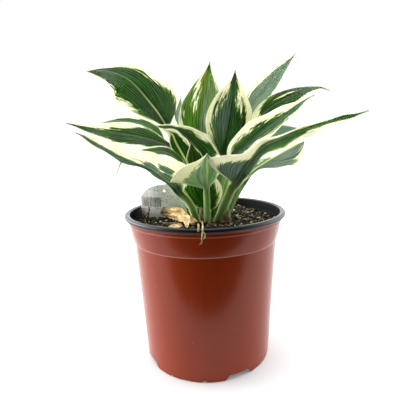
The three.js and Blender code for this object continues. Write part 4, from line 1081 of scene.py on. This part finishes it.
def make_crown(finish):
    rings = 26
    profile = [(0, 125), (CROWN_RADIUS * 0.9, 128), (CROWN_RADIUS, 142)]
    for ring in range(rings, -1, -1):
        share = ring / rings
        profile.append((CROWN_RADIUS * share, 145.2 + 2.2 * (1 - share * share)))
    crown = spin_profile(profile, 96)
    for vertex in crown.data.vertices:
        x, y, z = vertex.co.x / MM, vertex.co.y / MM, vertex.co.z / MM
        if z > 144:
            edge = smooth(min(max((CROWN_RADIUS - math.hypot(x, y)) / 7, 0), 1))
            rise = float(bumpy(np.array(x * 1.4), np.array(y * 1.4), 21)) * 0.9 * edge - 1.6 * (1 - edge)
            vertex.co.z = (z + rise) * MM
        vertex.co.x += CROWN_CENTRE[0] * MM
        vertex.co.y += CROWN_CENTRE[1] * MM
    crown.data.materials.append(finish)
    hand_over(crown, "crown_body", "crown_tissue", "crown")


def make_strip(name, slot, finish, points, halves, faces, thickness, nodes=(), cup=0.0, ruffle=0.0, seed=1):
    """A thin strip along a path, with a half width at each share of the way, a face direction and a curl."""
    rows, columns = 40, 14
    path = smooth_path(points)
    lengths = path_lengths(path)
    distance = np.linspace(0, lengths[-1], rows + 1)
    share = distance / lengths[-1]
    middle, normal, across = sweep(path, lengths, distance, faces, share)
    half = straight_list(halves, share)
    numbers = random.Random(seed)
    phases = [numbers.uniform(0, 6.3) for _ in range(4)]
    piece = add_grid(columns, rows)
    for vertex in piece.data.vertices:
        u = vertex.co.x
        row = int(round((vertex.co.y + 1) / 2 * rows))
        s = share[row]
        lift = cup * u * u + ruffle * (math.sin(9 * s + 2.3 * u + phases[0]) * 0.6
                                       + math.sin(21 * s - 4.1 * u + phases[1]) * 0.35
                                       + math.sin(37 * s + 7.0 * u + phases[2]) * 0.2)
        ragged = 1 + 0.12 * ruffle * math.sin(31 * s + phases[3]) * abs(u)
        place = middle[row] + across[row] * u * half[row] * ragged + normal[row] * lift
        vertex.co = Vector(place) * MM
    piece.data.materials.append(finish)
    piece.data.update()
    apply_modifier(piece, "SOLIDIFY", thickness=thickness * MM, offset=-1)
    hand_over(piece, name, slot, *nodes, angle=60)


LABEL_ARC_CENTRE = (-47.0, 45.0)
LABEL_ARC_RADIUS = 33.0
LABEL_LEFT = -25.0
LABEL_RIGHT = 30.0
LABEL_FOOT = 138.0
LABEL_TOP_LEVELS = [167, 174, 178, 180.2, 181, 181, 178.5, 172, 160]
LABEL_THICKNESS = 0.8
LABEL_HOLE = (3.8, 174.0, 1.4)


def label_point(across, level, depth):
    angle = across / LABEL_ARC_RADIUS - math.pi / 2
    radius = LABEL_ARC_RADIUS + depth
    return Vector((LABEL_ARC_CENTRE[0] + math.cos(angle) * radius,
                   LABEL_ARC_CENTRE[1] + math.sin(angle) * radius, level)) * MM


def make_label(finish):
    label = add_grid(80, 40)
    across_marks, level_marks = [], []
    for vertex in label.data.vertices:
        share = (vertex.co.x + 1) / 2
        across = LABEL_LEFT + (LABEL_RIGHT - LABEL_LEFT) * share
        edge = float(curve_list(LABEL_TOP_LEVELS, np.array(share)))
        level = LABEL_FOOT + (edge - LABEL_FOOT) * (vertex.co.y + 1) / 2
        across_marks.append(across)
        level_marks.append(level)
        vertex.co = label_point(across, level, LABEL_THICKNESS / 2)
    store(label.data, "across", across_marks)
    store(label.data, "along", level_marks)
    label.data.update()
    label.data.materials.append(finish)
    apply_modifier(label, "SOLIDIFY", thickness=LABEL_THICKNESS * MM, offset=-1)
    across, level, radius = LABEL_HOLE
    place = label_point(across, level, 0) / MM
    hole = drill(*place, radius, 8)
    pick(hole)
    bpy.ops.transform.rotate(value=math.pi / 2, orient_axis="X", center_override=place * MM)
    settle(hole)
    cut(label, [hole])
    apply_modifier(label, "BEVEL", width=0.00015, segments=1, limit_method="ANGLE",
                   angle_limit=math.radians(50))
    hand_over(label, "label_plate", "label_plastic", "plant_label", angle=40)


DRY_LEAF_EDGES = [
    ((-46, 7, 151), (-46.5, 6, 153.5)), ((-43, 4, 149), (-43, 5, 158)), ((-38, -1, 147.4), (-37, 1, 158)),
    ((-33, -8, 147.2), (-30, -3, 158.5)), ((-28, -15, 147.2), (-23, -6, 157.4)),
    ((-24, -24, 147.4), (-19, -13, 154.5)), ((-19, -31, 147.6), (-14, -21, 151.5)),
    ((-14, -34, 147.6), (-8.5, -27, 149.8)), ((-10.5, -34, 147.8), (-8, -31, 148.8)),
]
DRY_LOBE = [(-23, -14, 151), (-19, -27, 153.4), (-17, -42, 155.4), (-16, -60, 156.2), (-15.6, -73, 157.8),
            (-15.2, -80.5, 156.8)]


def make_dry_leaf(finish):
    rows, columns = 80, 34
    share = np.linspace(0, 1, rows + 1)
    low, high = (smooth_path(edge) for edge in zip(*DRY_LEAF_EDGES))
    dense = np.linspace(0, 1, len(low))
    low, high = (read_off(share, dense, edge) for edge in (low, high))
    outward = unit(np.cross(np.gradient(low, axis=0), high - low))
    piece = add_grid(columns, rows)
    for vertex in piece.data.vertices:
        v = (vertex.co.x + 1) / 2
        row = int(round((vertex.co.y + 1) / 2 * rows))
        s = share[row]
        folds = (math.sin(26 * v + 3 * s) * 0.35 + math.sin(14 * v - 9 * s + 1) * 0.6
                 + math.sin(31 * s + 9 * v) * 0.35 + math.sin(55 * s - 17 * v) * 0.18)
        ragged = 0.03 * math.sin(70 * s) + 0.02 * math.sin(113 * s + 1)
        spread = v + ragged * (2 * v - 1)
        place = low[row] + (high[row] - low[row]) * spread
        place = place + outward[row] * (math.sin(math.pi * v) * 1.5 + folds)
        vertex.co = Vector(place) * MM
    piece.data.update()
    piece.data.materials.append(finish)
    apply_modifier(piece, "SOLIDIFY", thickness=0.5 * MM, offset=-1)
    make_strip("dry_leaf_lobe", "dry_tissue", finish, DRY_LOBE, [1.5, 2.6, 3.0, 2.6, 2.9, 2.4, 0.8],
               [(0, -0.2, 1), (0, -0.4, 1)], 0.5, cup=1.2, ruffle=0.5, seed=4)
    hand_over(piece, "dry_leaf_body", "dry_tissue", "dry_leaf", angle=60)


def make_tube(name, finish, path, radius, nodes):
    """A thin root or twig, round in section and a little uneven."""
    curve = bpy.data.curves.new(name, "CURVE")
    curve.dimensions = "3D"
    curve.bevel_depth = radius * MM
    curve.bevel_resolution = 3
    curve.use_fill_caps = True
    curve.resolution_u = 8
    line = curve.splines.new("NURBS")
    line.points.add(len(path) - 1)
    numbers = random.Random(len(path))
    for point, place in zip(line.points, path):
        point.co = (*[value * MM for value in place], 1)
        point.radius = numbers.uniform(0.8, 1.15)
    line.use_endpoint_u = True
    line.order_u = 4
    piece = bpy.data.objects.new(name, curve)
    bpy.context.collection.objects.link(piece)
    pick(piece)
    bpy.ops.object.convert(target="MESH")
    piece = active()
    piece.data.materials.clear()
    piece.data.materials.append(finish)
    hand_over(piece, name, "dry_tissue", *nodes)


HANGING_ROOTLET = [(-3, -28, 149), (-2.8, -44, 151.6), (-2.6, -62, 154.6), (-2.3, -74, 157),
                   (-2.2, -80, 157.2),
                   (-2.3, -83.9, 155.4), (-2.8, -84.3, 151.5), (-3.1, -84.3, 148), (-3, -84, 145),
                   (-3.6, -83.8, 143), (-5.4, -83.4, 142.4)]
ROOTLET_LOOP = [(-2.6, -84.2, 152.9), (-0.9, -84.3, 152.6), (-0.2, -84.3, 149.9), (-1, -84.3, 147.6),
                (-3, -84.2, 146.6)]
STRAP_ROOTLET = [(-7, -38, 149), (-6, -60, 153.6), (-5.8, -74, 157), (-5.7, -80.4, 157.2), (-5.8, -84, 153.6)]

# Papery sheaths: name, path, half widths, face directions, cup, ruffle and seed
SHEATHS = [
    ("sheath_right", [(20.5, -20, 141), (21, -21, 147), (22, -22.6, 153), (23, -24, 160)],
     [5.4, 5.2, 4.2, 2.6, 0.6], [(0.26, -0.97, 0), (0.26, -0.97, 0.1)], -1.2, 0.25, 7),
    ("sheath_left", [(-2.5, -10.8, 141), (-3, -11, 148), (-3.6, -11.2, 156), (-4, -11.4, 164)],
     [3.2, 3.0, 2.4, 1.6, 0.4], [(0, -1, 0), (0, -1, 0.1)], -1.0, 0.25, 8),
    ("sheath_front", [(2, -24, 141), (2, -24.3, 144), (2, -24.8, 147), (2, -25.2, 149.5)],
     [4.6, 4.4, 3.4, 1.6], [(0, -1, 0), (0, -1, 0.1)], -1.0, 0.3, 9),
]

# Twigs: path and radius
TWIGS = [
    ([(-70, 2, 144), (-69, 1, 149), (-67, -1, 154), (-66, -2, 159)], 0.6),
    ([(-66, -6, 144.5), (-64, -4, 148), (-60, -2, 152), (-57, -1, 157)], 0.5),
    ([(-62, -3, 144.5), (-60, -2, 149), (-58, 1, 154), (-59, 3, 159)], 0.7),
    ([(-66, -8, 146), (-60, -8, 147.4), (-54, -6, 147), (-50, -6, 148)], 0.5),
]


# Building everything

leaf_finishes = {}
for leaf_name, leaf in LEAVES.items():
    depth = leaf.get("glow", GLOW_DEPTH)
    if depth not in leaf_finishes:
        leaf_finishes[depth] = [
            leaf_finish("leaf_%s_glow_%d" % (face, round(depth * 10)), face == "under", depth * MM)
            for face in ("upper", "under")]
    make_leaf(leaf_name, leaf, *leaf_finishes[depth])

make_pot(pot_finish(), black_plastic_finish("pot_black", 0.3, 0.26),
         black_plastic_finish("pot_inside", 0.08, 0.6))
make_soil(soil_finish())
crown_finish = flake_finish("crown_brown", paint(22, 16, 11), paint(96, 78, 56))
make_crown(crown_finish)
perlite = flake_finish("perlite_white", paint(196, 194, 186), paint(240, 240, 236), 0.8)
bark = flake_finish("bark_brown", paint(6, 5, 4), paint(54, 46, 30))
fibre = flake_finish("fibre_tan", paint(104, 90, 56), paint(216, 198, 152))
scatter("perlite_grains", "soil_mix", perlite, 60, 11, (1.2, 2.6), 0.8, lambda: lump(2, 0.1, 2))
scatter("bark_bits", "soil_mix", bark, 1100, 12, (1.6, 4.6), 0.7, lambda: lump(5, 0.18))
scatter("tan_bits", "soil_mix", fibre, 440, 15, (0.9, 2.8), 0.6, lambda: lump(9, 0.18), sink=0.0)
scatter("root_fibres", "soil_mix", fibre, 110, 13, (4.0, 10.0), 0.9, sliver, sink=0.3)

sheath = flake_finish("sheath_papery", paint(96, 84, 56), paint(186, 172, 132), 0.75)
for sheath_name, path, halves, faces, cup, ruffle, seed in SHEATHS:
    make_strip(sheath_name, "crown_tissue", sheath, path, halves, faces, 0.6, cup=cup, ruffle=ruffle,
               seed=seed)

make_label(label_finish())
dry = dry_leaf_finish()
make_dry_leaf(dry)
make_strip("dry_scrap_flake", "dry_tissue", dry,
           [(-35, -39, 147.2), (-32, -39.5, 147.6), (-27, -40, 147.8), (-22, -40, 148.6)],
           [0.6, 3.4, 4.4, 4.2, 1.2], [(0, -0.1, 1), (0, -0.3, 1)], 0.5, nodes=("dry_scrap",), cup=0.6,
           ruffle=0.4, seed=3)
make_tube("rootlet_hanging", fibre, HANGING_ROOTLET, 0.65, ("rootlet_looped",))
make_tube("rootlet_side_loop", fibre, ROOTLET_LOOP, 0.45, ())
make_tube("rootlet_strap", fibre, STRAP_ROOTLET, 0.7, ("rootlet_plain",))
twig = flake_finish("twig_brown", paint(36, 24, 20), paint(86, 60, 48))
for number, (path, radius) in enumerate(TWIGS, 1):
    make_tube("twig_%d" % number, twig, path, radius, ())


# Stage, light and camera

# Soft lights round the plant: direction, narrowness and strength
LIGHTS = [
    ((-1.0, 0.2, 0.1), 8.0, 14.0),
    ((1.0, 0.25, 0.1), 8.0, 5.8),
    ((0.0, 1.0, 0.1), 2.0, 2.6),
    ((0.0, 0.1, 1.0), 5.0, 4.0),
]
FRONT_LIGHT = 0.03


def make_stage():
    clear_selection()
    bpy.ops.mesh.primitive_plane_add(size=8, location=(0, 3.83, -0.0002))
    floor = active()
    floor.name = "floor"
    paper = Finish("white_paper", Roughness=0.9, Specular_IOR_Level=0.1)
    shade = paper.noise(3.0, 2.0, 0.5)
    colour = paper.mix(shade * 0.1, (0.64, 0.64, 0.64, 1), (0.62, 0.62, 0.62, 1))
    paper.set(Base_Color=colour)
    paper.shader.inputs["Emission Color"].default_value = (1, 1, 1, 1)
    paper.shader.inputs["Emission Strength"].default_value = 0.16
    floor.data.materials.append(paper.material)


def make_sky():
    """A white room seen by the camera; soft lights stand to the left, the right, behind and above, and the
    side behind the camera is dark."""
    world = bpy.data.worlds.new("studio")
    bpy.context.scene.world = world
    world.use_nodes = True
    tree = world.node_tree
    background = tree.nodes["Background"]
    place = tree.nodes.new("ShaderNodeTexCoord")
    axes = tree.nodes.new("ShaderNodeSeparateXYZ")
    tree.links.new(place.outputs["Generated"], axes.inputs[0])
    x, y, z = (Link(tree, output) for output in axes.outputs)
    strength = FRONT_LIGHT
    for direction, narrowness, power in LIGHTS:
        towards = Vector(direction).normalized()
        facing = x * towards.x + y * towards.y + z * towards.z
        strength = facing.math("MAXIMUM", facing, 0.0) ** narrowness * power + strength
    ray = tree.nodes.new("ShaderNodeLightPath")
    seen = Link(tree, ray.outputs["Is Camera Ray"])
    strength = strength * (1.0 - seen) + seen
    tree.links.new(strength.socket, background.inputs["Strength"])
    background.inputs["Color"].default_value = (1, 1, 1, 1)


def make_camera():
    down, aside, roll = (math.radians(angle) for angle in (LOOK_DOWN, LOOK_ASIDE, ROLL))
    forward = Vector((math.sin(aside) * math.cos(down), math.cos(aside) * math.cos(down), -math.sin(down)))
    right = Vector((math.cos(aside), -math.sin(aside), 0))
    up = right.cross(forward)
    right_rolled = right * math.cos(roll) + up * math.sin(roll)
    up_rolled = up * math.cos(roll) - right * math.sin(roll)
    camera = bpy.data.cameras.new("camera")
    camera.sensor_width = SENSOR
    camera.lens = FOCAL_PIXELS / PHOTO_WIDTH * SENSOR
    camera.clip_start = 0.01
    holder = bpy.data.objects.new("camera", camera)
    turn = Matrix((right_rolled, up_rolled, -forward)).transposed()
    holder.matrix_world = Matrix.Translation(EYE) @ turn.to_4x4()
    bpy.context.collection.objects.link(holder)
    bpy.context.scene.camera = holder


make_stage()
make_sky()
make_camera()
bpy.context.scene.view_settings.view_transform = "Standard"
